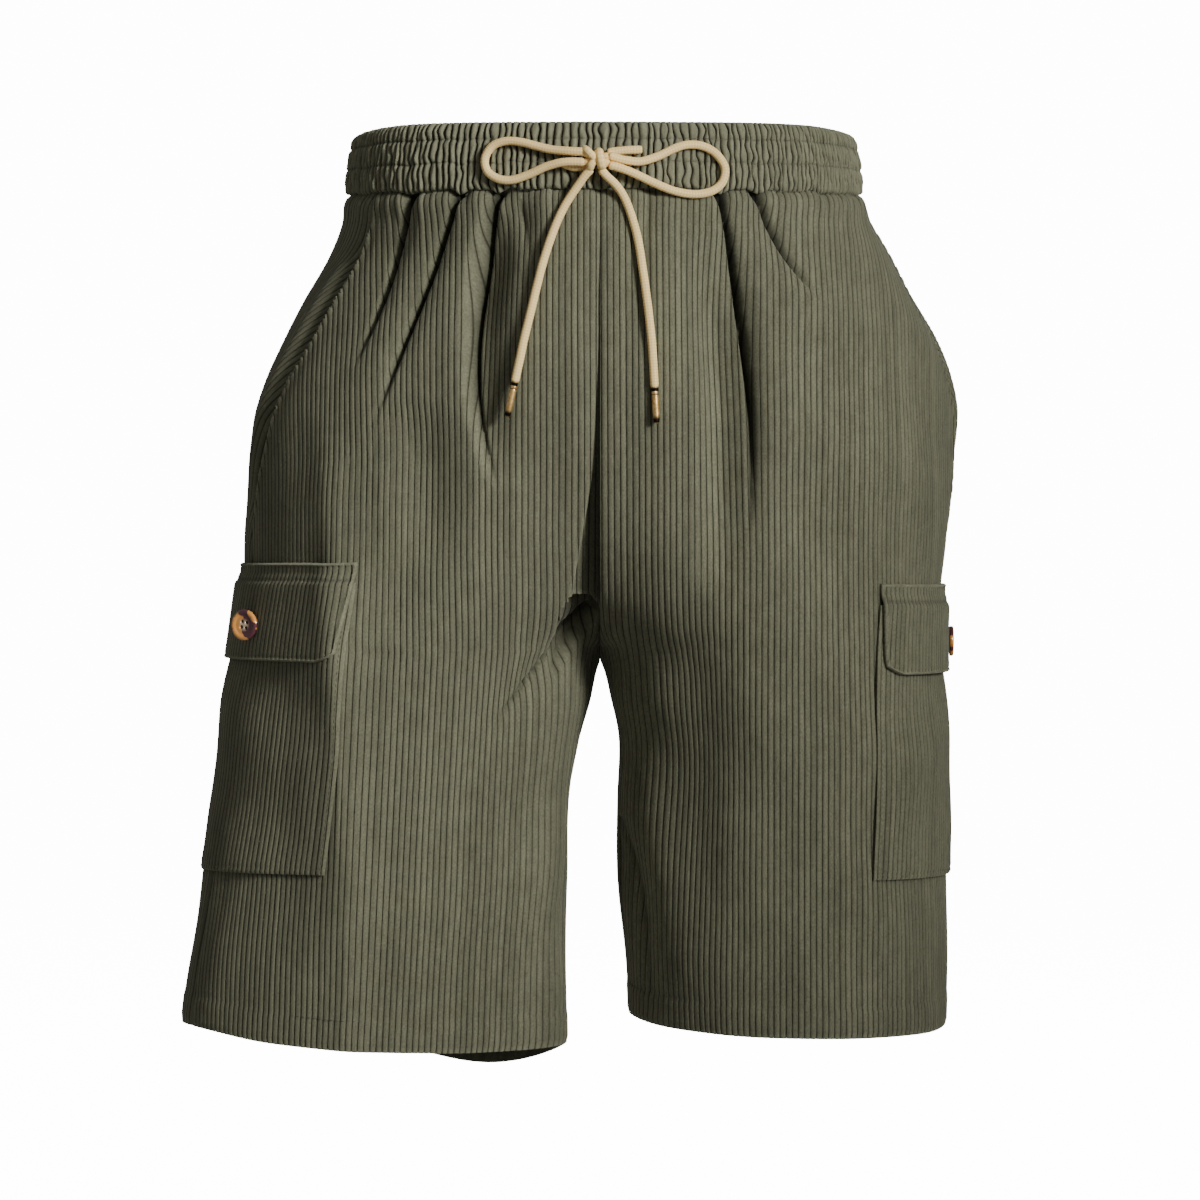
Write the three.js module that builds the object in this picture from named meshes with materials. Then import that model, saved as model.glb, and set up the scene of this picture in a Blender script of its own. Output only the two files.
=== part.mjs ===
// Cargo shorts in wide-wale corduroy, filled out as if worn: two fronts, two backs, an elastic waistband that
// gathers them, a drawstring tied in a bow, and a cargo pocket with a buttoned flap over each outseam.
// Millimetres, +Z up, the front faces -Y. The origin is the centre of the waistband. Left and right are the wearer's.
import * as THREE from 'three';

// Cloth
const CLOTH = 1.8; // corduroy wall
const CASING = 3.2; // waistband wall: two layers of cloth round the elastic
const BAG = 2.0; // pocket bag wall
const FLAP = 2.4; // flap wall, two layers
const SEAM_GAP = 0.3; // between pieces at a seam
const HALF_GAP = SEAM_GAP / 2;

// Heights
const BAND_TOP = 17;
const SEAM_Z = -20.5; // waistband seam at the centre front
const SEAM_DIP = 2.5; // how much lower that seam is at the sides
const TOP_DIP = 5.5; // how much lower the waistband's top edge is at the sides
const CROTCH_Z = -284;
const VALLEY = 9;

// Sections of each leg by height. outer and inner are the distances of the section's two ends from the centre
// plane, front and back its depths, seam the angle of the outseam in front of the outer end. Above the crotch the
// inner end is past the centre plane, below zero, and the section is cut off at that plane.
const RIGHT = {
  name: 'right',
  side: -1,
  power: 1.72, // below 2 the outer half of the section is flatter at the side
  rows: [
    { z: -19, outer: 146, inner: -146, front: 112, back: 113, seam: 28 },
    { z: -38, outer: 150, inner: -145, front: 117, back: 120, seam: 28 },
    { z: -61, outer: 159, inner: -142, front: 119, back: 128, seam: 27 },
    { z: -84, outer: 172, inner: -137, front: 121, back: 134, seam: 26 },
    { z: -108, outer: 185, inner: -129, front: 122, back: 139, seam: 25 },
    { z: -131, outer: 196, inner: -119, front: 121, back: 142, seam: 23 },
    { z: -155, outer: 203, inner: -107, front: 119, back: 142, seam: 21 },
    { z: -213, outer: 208, inner: -69, front: 108, back: 132, seam: 15 },
    { z: -248, outer: 208, inner: -37, front: 100, back: 122, seam: 15 },
    { z: -284, outer: 212, inner: 0, front: 93, back: 112, seam: 16 },
    { z: -319, outer: 218, inner: 6, front: 87, back: 102, seam: 17 },
    { z: -342, outer: 221, inner: 12, front: 84, back: 96, seam: 18 },
    { z: -377, outer: 226, inner: 18, front: 80, back: 89, seam: 18 },
    { z: -424, outer: 234, inner: 19, front: 76, back: 82, seam: 18 },
    { z: -471, outer: 242, inner: 20, front: 74, back: 78, seam: 18 },
    { z: -520, outer: 248, inner: 19, front: 73, back: 76, seam: 18 },
  ],
  hem: [
    { w: 0, z: -521 },
    { w: 0.25, z: -519 },
    { w: 0.5, z: -517 },
    { w: 0.75, z: -514 },
    { w: 1, z: -509 },
    { w: 1.25, z: -513 },
    { w: 1.5, z: -530 },
    { w: 1.75, z: -543 },
    { w: 2, z: -521 },
  ],
};
const LEFT = {
  name: 'left',
  side: 1,
  power: 2,
  rows: [
    { z: -19, outer: 151, inner: -151, front: 112, back: 113, seam: 0 },
    { z: -38, outer: 157, inner: -150, front: 117, back: 120, seam: 1 },
    { z: -61, outer: 170, inner: -147, front: 120, back: 128, seam: 2 },
    { z: -84, outer: 182, inner: -141, front: 123, back: 134, seam: 3 },
    { z: -108, outer: 195, inner: -132, front: 125, back: 139, seam: 4 },
    { z: -131, outer: 203, inner: -121, front: 126, back: 142, seam: 5 },
    { z: -155, outer: 207, inner: -108, front: 126, back: 142, seam: 5 },
    { z: -213, outer: 204, inner: -69, front: 120, back: 134, seam: 5 },
    { z: -248, outer: 200, inner: -37, front: 115, back: 127, seam: 5 },
    { z: -284, outer: 197, inner: 0, front: 109, back: 119, seam: 5 },
    { z: -319, outer: 199, inner: 7, front: 105, back: 112, seam: 5 },
    { z: -342, outer: 201, inner: 11, front: 103, back: 108, seam: 5 },
    { z: -377, outer: 203, inner: 10, front: 101, back: 104, seam: 5 },
    { z: -424, outer: 204, inner: 10, front: 99, back: 101, seam: 5 },
    { z: -471, outer: 205, inner: 15, front: 98, back: 99, seam: 5 },
    { z: -520, outer: 204, inner: 17, front: 97, back: 98, seam: 5 },
  ],
  hem: [
    { w: 0, z: -503 },
    { w: 0.5, z: -505 },
    { w: 1, z: -509 },
    { w: 1.5, z: -506 },
    { w: 2, z: -503 },
  ],
};

// Folds, a row for each. x is the distance from the centre plane at the fold's two ends, bow how far its middle
// stands out from the straight line between them. depth is inwards, and below zero for a ridge. near and far are
// the fold's widths on its side towards the centre and away from it. start is its share of depth at its top.
const FOLDS = {
  right_front: [
    { x1: 107, z1: -21, x2: 140, z2: -122, bow: -2, depth: 6, near: 8, far: 15, start: 0.2 },
    { x1: 79, z1: -20, x2: 128, z2: -152, bow: 0, depth: 7, near: 8, far: 16, start: 0.2 },
    { x1: 57, z1: -21, x2: 57, z2: -178, bow: 15, depth: 8, near: 16, far: 9, start: 0.2 },
    { x1: 47, z1: -21, x2: 40, z2: -62, bow: 0, depth: 3, near: 8, far: 8, start: 0.2 },
    { x1: 101, z1: -140, x2: 98, z2: -240, bow: 0, depth: 5, near: 18, far: 18, start: 0 },
    { x1: 6, z1: -150, x2: 13, z2: -262, bow: 3, depth: 4, near: 12, far: 8, start: 0 },
    { x1: 8, z1: -262, x2: 60, z2: -345, bow: 4, depth: 5, near: 10, far: 12, start: 0.2 },
    { x1: 150, z1: -175, x2: 154, z2: -560, bow: 0, depth: -5, near: 26, far: 30, start: 0 },
  ],
  left_front: [
    { x1: 67, z1: -21, x2: 84, z2: -205, bow: 9, depth: 9, near: 22, far: 8, start: 0.2 },
    { x1: 88, z1: -20, x2: 122, z2: -82, bow: -3, depth: 5, near: 10, far: 8, start: 0.2 },
    { x1: 113, z1: -55, x2: 136, z2: -175, bow: 2, depth: -3, near: 14, far: 12, start: 0 },
    { x1: 28, z1: -21, x2: 22, z2: -110, bow: 0, depth: 3, near: 9, far: 9, start: 0.2 },
    { x1: 52, z1: -270, x2: 48, z2: -460, bow: 0, depth: 6, near: 26, far: 24, start: 0 },
    { x1: 10, z1: -385, x2: 31, z2: -505, bow: 1, depth: 5, near: 9, far: 9, start: 0 },
  ],
  back: [
    { x1: 22, z1: -21, x2: 14, z2: -130, bow: 0, depth: 5, near: 9, far: 13, start: 0.2 },
    { x1: 58, z1: -21, x2: 70, z2: -165, bow: 3, depth: 7, near: 16, far: 9, start: 0.2 },
    { x1: 96, z1: -21, x2: 128, z2: -140, bow: -3, depth: 6, near: 9, far: 14, start: 0.2 },
    { x1: 30, z1: -215, x2: 84, z2: -330, bow: -4, depth: 4, near: 14, far: 16, start: 0 },
    { x1: 108, z1: -300, x2: 112, z2: -480, bow: 4, depth: 5, near: 22, far: 22, start: 0 },
  ],
};

// Waistband gathers
const GATHERS = 156; // round the whole band
const GATHER_DEPTH = 1.4;

// Cargo pockets, over the outseams. top is the height of the flap's upper edge and foot of the bag's lower one, ahead
// how far the flap's middle lies in front of the outseam at its top, swing how much further the bag's foot does, and
// button how far the button is in front of the flap's middle.
const POCKETS = [
  { leg: RIGHT, top: -236, flap: 57, foot: -417, ahead: 17, swing: -7, button: 6 },
  { leg: LEFT, top: -249, flap: 52, foot: -419, ahead: 9, swing: 6, button: -16 },
];
const POCKET_TILT = 0.05; // rise of the pockets' level lines towards the front
const PATCH_LIFT = 0.9; // a patch's inner face off the cloth under it, at its sewn edges
const BAG_HALF = 79;
const BAG_BELOW = 12; // from the flap's upper edge to the bag's
const BAG_BELLY = 1.6;
const FLAP_HALF_TOP = 80;
const FLAP_HALF_FOOT = 75;
const FLAP_CORNER = 5;

// Button
const BUTTON_RADIUS = 9;
const BUTTON_DEPTH = 2.6;
const BUTTON_HOLE = 1;
const BUTTON_HOLE_PITCH = 3.2;
const BUTTON_LEVEL = 0.65; // its share of the way down the flap

// Drawstring
const CORD_RADIUS = 2.4;
const AGLET_RADIUS = 2;
const AGLET_LENGTH = 20;

const clamp = (value, low, high) => Math.min(high, Math.max(low, value));
const mix = (a, b, share) => a + (b - a) * share;

// One column of a table at a place along its key column, on a smooth curve through the rows
function along(rows, key, column, place) {
  const last = rows.length - 1;
  const rising = rows[last][key] > rows[0][key];
  let i = 0;
  while (i < last - 1 && (rising ? place > rows[i + 1][key] : place < rows[i + 1][key])) i += 1;
  const slope = (n) => {
    const a = rows[Math.max(0, n - 1)];
    const b = rows[Math.min(last, n + 1)];
    return (b[column] - a[column]) / (b[key] - a[key]);
  };
  const step = rows[i + 1][key] - rows[i][key];
  const q = (place - rows[i][key]) / step;
  const rise = rows[i + 1][column] - rows[i][column];
  const bend = q * (1 - q);
  return rows[i][column] + rise * q
    + bend * (1 - q) * (slope(i) * step - rise) + bend * q * (rise - slope(i + 1) * step);
}

// The leg's section at a height. end is the angle at which it meets the centre plane, or the inseam lower down.
// valley is how far the dip between the two halves is rounded off.
function section(leg, z) {
  const at = (column) => along(leg.rows, 'z', column, z);
  const half = (at('outer') - at('inner')) / 2;
  const centre = (at('outer') + at('inner')) / 2;
  const lean = z > CROTCH_Z ? clamp(centre / half, 0, 1) : 1;
  return {
    half,
    centre,
    front: at('front'),
    back: at('back'),
    end: Math.acos(-lean),
    seam: THREE.MathUtils.degToRad(at('seam')),
    valley: VALLEY * (1 - lean ** 4) * clamp(lean * 4, 0, 1),
    power: leg.power,
  };
}

// A point of the section. The angle runs from the outer silhouette, forwards above zero and backwards below it.
function sectionPoint(cut, angle) {
  const turn = Math.abs(angle);
  const depth = angle > 0 ? cut.front : cut.back;
  const power = 2 / (turn < Math.PI / 2 ? cut.power : 2);
  const across = Math.sign(Math.cos(turn)) * Math.abs(Math.cos(turn)) ** power;
  const x = cut.centre + cut.half * across;
  let y = depth * Math.sin(turn) ** power;
  if (cut.valley > 0 && x < cut.centre) {
    const eased = Math.hypot(x, cut.valley);
    if (eased < cut.centre) y = depth * Math.sqrt(1 - ((eased - cut.centre) / cut.half) ** 2);
  }
  return { x, y: angle > 0 ? -y : y };
}

// Lengths along the front (or back) of the section, from its centre end to the outseam
const STEPS = 60;
function ruler(cut, front) {
  const from = front ? cut.end : -cut.end;
  const points = [];
  let length = 0;
  for (let i = 0; i <= STEPS; i += 1) {
    const angle = mix(from, cut.seam, i / STEPS);
    const point = sectionPoint(cut, angle);
    if (i > 0) length += Math.hypot(point.x - points[i - 1].x, point.y - points[i - 1].y);
    points.push({ ...point, length });
  }
  return { points, length };
}

// The skin of a leg: w is 0 at the centre front or inseam, 1 at the outseam, 2 at the centre back or inseam
function skin(leg, w, z) {
  const cut = section(leg, z);
  const front = w <= 1;
  const { points, length } = ruler(cut, front);
  const wanted = clamp(front ? w : 2 - w, 0, 1) * length;
  let i = 1;
  while (i < STEPS && points[i].length < wanted) i += 1;
  const a = points[i - 1];
  const b = points[i];
  const q = (wanted - a.length) / (b.length - a.length);
  return { x: mix(a.x, b.x, q), y: mix(a.y, b.y, q), z, length };
}

function foldsOf(leg, w) {
  return FOLDS[w <= 1 ? `${leg.name}_front` : 'back'];
}

// How far the folds move the cloth outwards
function relief(leg, w, x, z) {
  let out = 0;
  for (const fold of foldsOf(leg, w)) {
    const q = (fold.z1 - z) / (fold.z1 - fold.z2);
    const late = clamp(q, 0, 1);
    const rise = mix(fold.start, 1, Math.sin(clamp(q / 0.35, 0, 1) * Math.PI / 2));
    const fall = q > 0.35 ? Math.cos(clamp((q - 0.35) / 0.65, 0, 1) * Math.PI / 2) : 1;
    const above = fold.start > 0 || q > 0 ? 1 : 0;
    const away = x - mix(fold.x1, fold.x2, late) - fold.bow * 4 * late * (1 - late);
    const width = away > 0 ? fold.far : fold.near;
    if (q < 1) out -= above * fold.depth * rise * fall * Math.exp(-((away / width) ** 2));
  }
  return out;
}

// A point of the cloth: the skin with its folds, moved out by so many millimetres
function cloth(leg, w, z, out) {
  const STEP_W = 0.01;
  const STEP_Z = 2;
  const spot = skin(leg, w, z);
  const wa = w <= 1 ? Math.max(0, w - STEP_W) : Math.max(1, w - STEP_W);
  const wb = w <= 1 ? Math.min(1, w + STEP_W) : Math.min(2, w + STEP_W);
  const a = skin(leg, wa, z);
  const b = skin(leg, wb, z);
  const under = skin(leg, w, z - STEP_Z);
  const round = new THREE.Vector3(b.x - a.x, b.y - a.y, 0);
  const up = new THREE.Vector3(spot.x - under.x, spot.y - under.y, STEP_Z);
  const normal = new THREE.Vector3().crossVectors(round, up).normalize();
  const move = relief(leg, w, spot.x, z) + out;
  const x = Math.max(HALF_GAP, spot.x + normal.x * move);
  return new THREE.Vector3(leg.side * x, spot.y + normal.y * move, z + normal.z * move);
}

const seamZ = (x) => SEAM_Z - SEAM_DIP * (x / 148) ** 2;

// Six times the volume that the faces enclose, below zero if they face inwards
function enclosed(points, faces) {
  let sum = 0;
  const corner = (n) => new THREE.Vector3(points[3 * n], points[3 * n + 1], points[3 * n + 2]);
  for (let i = 0; i < faces.length; i += 3) {
    const [a, b, c] = [corner(faces[i]), corner(faces[i + 1]), corner(faces[i + 2])];
    sum += a.dot(b.cross(c));
  }
  return sum;
}

// A closed wall: at(i, j, layer) gives the points of a grid, layer 1 on its outside and 0 on its inside. A plain
// wall has no rows inside between its first and its last.
function wall(columns, rows, at, plain = false) {
  const points = [];
  const faces = [];
  const ids = [[], []];
  for (const layer of [0, 1]) {
    for (let j = 0; j <= rows; j += plain && layer === 0 ? rows : 1) {
      ids[layer][j] = [];
      for (let i = 0; i <= columns; i += 1) {
        ids[layer][j].push(points.length / 3);
        points.push(...at(i, j, layer).toArray());
      }
    }
  }
  const [inside, outside] = ids;
  const quad = (a, b, c, d) => faces.push(a, b, c, a, c, d);
  for (let j = 0; j < rows; j += 1) {
    for (let i = 0; i < columns; i += 1) {
      quad(outside[j][i], outside[j + 1][i], outside[j + 1][i + 1], outside[j][i + 1]);
      if (!plain) quad(inside[j][i], inside[j][i + 1], inside[j + 1][i + 1], inside[j + 1][i]);
    }
  }
  for (let i = 0; i < columns; i += 1) {
    if (plain) quad(inside[0][i], inside[0][i + 1], inside[rows][i + 1], inside[rows][i]);
    quad(inside[0][i], outside[0][i], outside[0][i + 1], inside[0][i + 1]);
    quad(outside[rows][i], inside[rows][i], inside[rows][i + 1], outside[rows][i + 1]);
  }
  for (const [i, turned] of [[0, false], [columns, true]]) {
    const middle = Math.ceil(rows / 2);
    const face = (a, b, c) => (turned ? faces.push(a, b, c) : faces.push(a, c, b));
    for (let j = 0; j < rows; j += 1) {
      if (plain) {
        face(outside[j][i], outside[j + 1][i], inside[j < middle ? 0 : rows][i]);
      } else {
        face(outside[j][i], outside[j + 1][i], inside[j + 1][i]);
        face(outside[j][i], inside[j + 1][i], inside[j][i]);
      }
    }
    if (plain) face(outside[middle][i], inside[rows][i], inside[0][i]);
  }
  if (enclosed(points, faces) < 0) faces.reverse();
  const geometry = new THREE.BufferGeometry();
  geometry.setAttribute('position', new THREE.Float32BufferAttribute(points, 3));
  geometry.setIndex(faces);
  geometry.computeVertexNormals();
  return geometry;
}

const group = new THREE.Group();
const corduroy = (colour) => new THREE.MeshStandardMaterial({ color: colour, roughness: 0.95, side: THREE.DoubleSide });
const OLIVE = 0x5f5e4b;
function add(name, geometry, material) {
  const mesh = new THREE.Mesh(geometry, material);
  mesh.name = name;
  group.add(mesh);
  return mesh;
}

// Front and back panels
const PANEL_COLUMNS = 20;
const RISE_ROWS = 12;
const LEG_ROWS = 7;
function panel(leg, front) {
  const from = front ? 0 : 1;
  const place = (i, j) => {
    const share = from + i / PANEL_COLUMNS;
    const top = seamZ(skin(leg, share, SEAM_Z).x) - HALF_GAP;
    let z;
    if (j <= RISE_ROWS) {
      const down = j / RISE_ROWS;
      z = mix(top, CROTCH_Z, 0.6 * down + 0.4 * Math.sin(down * Math.PI / 2));
    } else {
      z = mix(CROTCH_Z, along(leg.hem, 'w', 'z', share), (j - RISE_ROWS) / LEG_ROWS);
    }
    const pull = HALF_GAP / skin(leg, share, z).length;
    return { w: clamp(share, from + pull, from + 1 - pull), z };
  };
  const at = (i, j, layer) => {
    const { w, z } = place(i, j);
    return cloth(leg, w, z, layer ? 0 : -CLOTH);
  };
  return wall(PANEL_COLUMNS, RISE_ROWS + LEG_ROWS, at);
}
for (const leg of [RIGHT, LEFT]) {
  add(`front_${leg.name}`, panel(leg, true), corduroy(OLIVE));
  add(`back_${leg.name}`, panel(leg, false), corduroy(OLIVE));
}

// Waistband: one strip round the waist, its ends at the centre back
const BAND_LEVELS = [
  { share: 0, lean: -5, puff: 0.4 },
  { share: 0.12, lean: -2.5, puff: 1 },
  { share: 0.45, lean: 0, puff: 1 },
  { share: 0.85, lean: 1.4, puff: 1 },
  { share: 1, lean: 1, puff: 0.4 },
];
function bandPoint(turn, level, layer, wave) {
  const half = turn < 0 ? RIGHT.rows[0].outer : LEFT.rows[0].outer;
  const depth = RIGHT.rows[0].front;
  const x = half * Math.sin(turn);
  const y = -depth * Math.cos(turn);
  const normal = new THREE.Vector3(x / half ** 2, y / depth ** 2, 0).normalize();
  const top = BAND_TOP - TOP_DIP * Math.sin(turn) ** 8;
  const z = mix(top, seamZ(x) + HALF_GAP, level.share);
  const out = layer ? level.lean + wave * GATHER_DEPTH * level.puff : level.lean - CASING;
  return new THREE.Vector3(x + normal.x * out, y + normal.y * out, z);
}
function waistband() {
  const columns = GATHERS * 2;
  const gap = HALF_GAP / RIGHT.rows[0].outer;
  const at = (i, j, layer) => {
    const turn = mix(-Math.PI + gap, Math.PI - gap, i / columns);
    return bandPoint(turn, BAND_LEVELS[j], layer, i % 2 ? 0.5 : -0.5);
  };
  return wall(columns, BAND_LEVELS.length - 1, at, true);
}
add('waistband', waistband(), corduroy(OLIVE));

// A point of a patch over the outseam: ahead is the distance in front of the seam, below zero behind it
function patchPoint(leg, ahead, z, out) {
  const length = skin(leg, ahead > 0 ? 1 : 1.001, z).length;
  return cloth(leg, 1 - ahead / length, z, out);
}

// The bag's inner face lies on the leg at its sewn edges and stands off it by its belly in the middle
function bagLift(pocket, share, z) {
  const down = clamp((pocket.top - BAG_BELOW - z) / (pocket.top - BAG_BELOW - pocket.foot), 0, 1);
  return PATCH_LIFT + BAG_BELLY * (1 - share * share) * Math.sin(Math.PI * Math.sqrt(down));
}
function middleAt(pocket, z) {
  return pocket.ahead + pocket.swing * (pocket.top - z) / (pocket.top - pocket.foot);
}
// A point of a pocket: across is the distance in front of the pocket's middle, z the height there
function pocketPoint(pocket, across, z, out) {
  return patchPoint(pocket.leg, middleAt(pocket, z) + across, z + POCKET_TILT * across, out);
}
const BAG_COLUMNS = 16;
const BAG_ROWS = 9;
function bag(pocket) {
  const at = (i, j, layer) => {
    const share = 2 * i / BAG_COLUMNS - 1;
    const z = mix(pocket.top - BAG_BELOW, pocket.foot, j / BAG_ROWS);
    const out = bagLift(pocket, share, z) + (layer ? BAG : 0);
    return pocketPoint(pocket, -share * BAG_HALF, z, out);
  };
  return wall(BAG_COLUMNS, BAG_ROWS, at);
}

// The flap is sewn above the bag and lies over its upper part
const FLAP_LEVELS = [0, 0.08, 0.15, 0.2, 0.45, 0.7, 0.9, 1];
const FLAP_COLUMNS = 16;
function flapHalf(level) {
  return mix(FLAP_HALF_TOP, FLAP_HALF_FOOT, level);
}
function flapLift(pocket, across, z, level) {
  const share = clamp(across / BAG_HALF, -1, 1);
  const over = bagLift(pocket, share, z) + BAG + PATCH_LIFT;
  return mix(PATCH_LIFT, over, clamp(level * 10, 0, 1));
}
function flapPoint(pocket, share, level, layer) {
  const corner = level === 1 ? FLAP_CORNER * clamp((Math.abs(share) - 0.86) / 0.14, 0, 1) : 0;
  const z = pocket.top - pocket.flap * level + corner;
  const across = -share * flapHalf(level);
  return pocketPoint(pocket, across, z, flapLift(pocket, across, z, level) + (layer ? FLAP : 0));
}
function flap(pocket) {
  const at = (i, j, layer) => flapPoint(pocket, 2 * i / FLAP_COLUMNS - 1, FLAP_LEVELS[j], layer);
  return wall(FLAP_COLUMNS, FLAP_LEVELS.length - 1, at);
}

// Four-hole button, its back on the flap
function button(pocket) {
  const outline = new THREE.Shape();
  outline.absarc(0, 0, BUTTON_RADIUS - 0.5, 0, 2 * Math.PI, false);
  const across = BUTTON_HOLE_PITCH / 2;
  for (const [x, y] of [[across, across], [-across, across], [-across, -across], [across, -across]]) {
    const hole = new THREE.Path();
    hole.absarc(x, y, BUTTON_HOLE, 0, 2 * Math.PI, true);
    outline.holes.push(hole);
  }
  const bevel = 0.5;
  const geometry = new THREE.ExtrudeGeometry(outline, {
    depth: BUTTON_DEPTH - 2 * bevel,
    bevelThickness: bevel,
    bevelSize: bevel,
    bevelSegments: 1,
    curveSegments: 7,
  });
  geometry.translate(0, 0, bevel);
  const level = BUTTON_LEVEL;
  const share = -pocket.button / flapHalf(level);
  const seat = flapPoint(pocket, share, level, 1);
  const forward = flapPoint(pocket, share - 0.05, level, 1).sub(flapPoint(pocket, share + 0.05, level, 1));
  const upward = flapPoint(pocket, share, level - 0.1, 1).sub(flapPoint(pocket, share, level + 0.1, 1));
  const normal = new THREE.Vector3().crossVectors(forward, upward).multiplyScalar(-pocket.leg.side).normalize();
  const mesh = add(`button_${pocket.leg.name}`, geometry, new THREE.MeshStandardMaterial({
    color: 0x9a5a20,
    roughness: 0.3,
  }));
  mesh.quaternion.setFromUnitVectors(new THREE.Vector3(0, 0, 1), normal);
  mesh.position.copy(seat).addScaledVector(normal, SEAM_GAP);
}
for (const pocket of POCKETS) {
  add(`cargo_pocket_${pocket.leg.name}`, bag(pocket), corduroy(0x55543f));
  add(`pocket_flap_${pocket.leg.name}`, flap(pocket), corduroy(0x58573f));
  button(pocket);
}

// Drawstring. The knot sits in front of the waistband's middle, the bow's loops lie along the band and the two
// ends hang down the fronts.
const KNOT = new THREE.Vector3(-2, -121.4, -3);
const KNOT_SIZE = new THREE.Vector3(6.2, 5, 6.4);
const cotton = () => new THREE.MeshStandardMaterial({ color: 0xdec79f, roughness: 0.9 });
const ROUTES = {
  bow_loop_right: [
    [-8.5, -122.2, -0.2], [-17, -120.4, 0.2], [-27.6, -116.4, 1.2], [-36, -113.6, 3.2], [-44.4, -110.8, 5.4],
    [-53, -107.8, 6], [-60.6, -105.4, 3.2], [-64.8, -104.6, -3.6], [-63.6, -105.8, -10.6], [-57.6, -108.6, -15],
    [-50, -110.8, -15.9], [-40, -113.8, -12.8], [-30, -117.4, -8.4], [-20, -120.8, -6], [-8.6, -122.4, -6],
  ],
  bow_loop_left: [
    [5, -122.2, -2.4], [13, -120.4, -4.6], [22.5, -117.2, -5.6], [32.6, -114, -2.6], [40, -111.6, 1],
    [47.4, -109.6, 3.6], [56.2, -107, 3.6], [64.6, -104.8, -0.4], [70.4, -104.2, -9], [68.8, -105.6, -17.2],
    [63, -107.6, -22], [53, -110.6, -23.8], [41.6, -113.8, -22], [30, -116.8, -17.4], [18, -120.2, -11.8],
    [10, -122.2, -8.8], [5.2, -122.6, -7.6],
  ],
  cord_end_right: [
    [-5, -122, -9.9], [-8, -121, -13], [-12.4, -119.2, -19.1], [-19, -117.8, -29], [-24, -118, -39],
    [-28, -118.8, -49.5], [-32, -120.4, -62], [-35.6, -121.8, -76], [-39.2, -123.2, -91], [-42.4, -123.9, -104],
    [-45.2, -123.9, -117], [-47.8, -123.6, -129],
  ],
  cord_end_left: [
    [0.4, -122, -10.1], [4, -121.2, -14], [8.6, -119.8, -18.4], [13, -118.4, -24.5], [17, -118.1, -34],
    [21.2, -119.2, -49], [23.8, -121.6, -65], [26.2, -124.4, -82], [28, -126.6, -97], [29.4, -128.1, -112],
    [30.6, -129, -132],
  ],
  cord_lead_right: [[-6.6, -115.9, -7], [-10.4, -115.9, -8.4], [-15, -115.9, -8.6], [-20.4, -115.2, -6.9]],
  cord_lead_left: [[4.3, -116, -0.6], [9.6, -115.6, 0.2], [16, -115.2, 0.8], [23.6, -114.4, 1]],
};
function cord(route, step, sides) {
  const path = new THREE.CatmullRomCurve3(route.map((p) => new THREE.Vector3(...p)), false, 'centripetal');
  const round = new THREE.Shape();
  for (let i = 0; i < sides; i += 1) {
    const angle = 2 * Math.PI * i / sides;
    const x = CORD_RADIUS * Math.cos(angle);
    const y = CORD_RADIUS * Math.sin(angle);
    if (i === 0) round.moveTo(x, y);
    else round.lineTo(x, y);
  }
  const steps = Math.round(path.getLength() / step);
  return new THREE.ExtrudeGeometry(round, { steps, bevelEnabled: false, extrudePath: path });
}
const CORD_SIDES = 8;
const LOOP_STEP = 6;
const END_STEP = 9;
for (const [name, route] of Object.entries(ROUTES)) {
  add(name, cord(route, name.startsWith('bow') ? LOOP_STEP : END_STEP, CORD_SIDES), cotton());
}
const knot = new THREE.SphereGeometry(1, 14, 10);
knot.scale(KNOT_SIZE.x, KNOT_SIZE.y, KNOT_SIZE.z);
add('bow_knot', knot, cotton()).position.copy(KNOT);

// Metal tips
for (const side of ['right', 'left']) {
  const route = ROUTES[`cord_end_${side}`];
  const tip = new THREE.Vector3(...route[route.length - 1]);
  const way = tip.clone().sub(new THREE.Vector3(...route[route.length - 2])).normalize();
  const profile = [
    [0, 0],
    [AGLET_RADIUS - 0.3, 0],
    [AGLET_RADIUS, 0.4],
    [AGLET_RADIUS, AGLET_LENGTH - 2],
    [AGLET_RADIUS - 0.7, AGLET_LENGTH],
    [0, AGLET_LENGTH],
  ].map(([x, y]) => new THREE.Vector2(x, y));
  const aglet = add(`aglet_${side}`, new THREE.LatheGeometry(profile, 14), new THREE.MeshStandardMaterial({
    color: 0xb08d4f,
    roughness: 0.35,
    metalness: 1,
  }));
  aglet.quaternion.setFromUnitVectors(new THREE.Vector3(0, 1, 0), way);
  aglet.position.copy(tip).addScaledVector(way, SEAM_GAP);
}

export default group;
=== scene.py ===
"""Cargo shorts in olive wide-wale corduroy, dressed on their solids.

Metres, +Z up, the front faces -Y, the origin is the centre of the waistband. Left and right are the wearer's.
A leg's surface is a table of points by height and by share, which runs from 0 at the centre seam or inseam to
1 at the outseam, once for its front and once for its back.
"""

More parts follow.
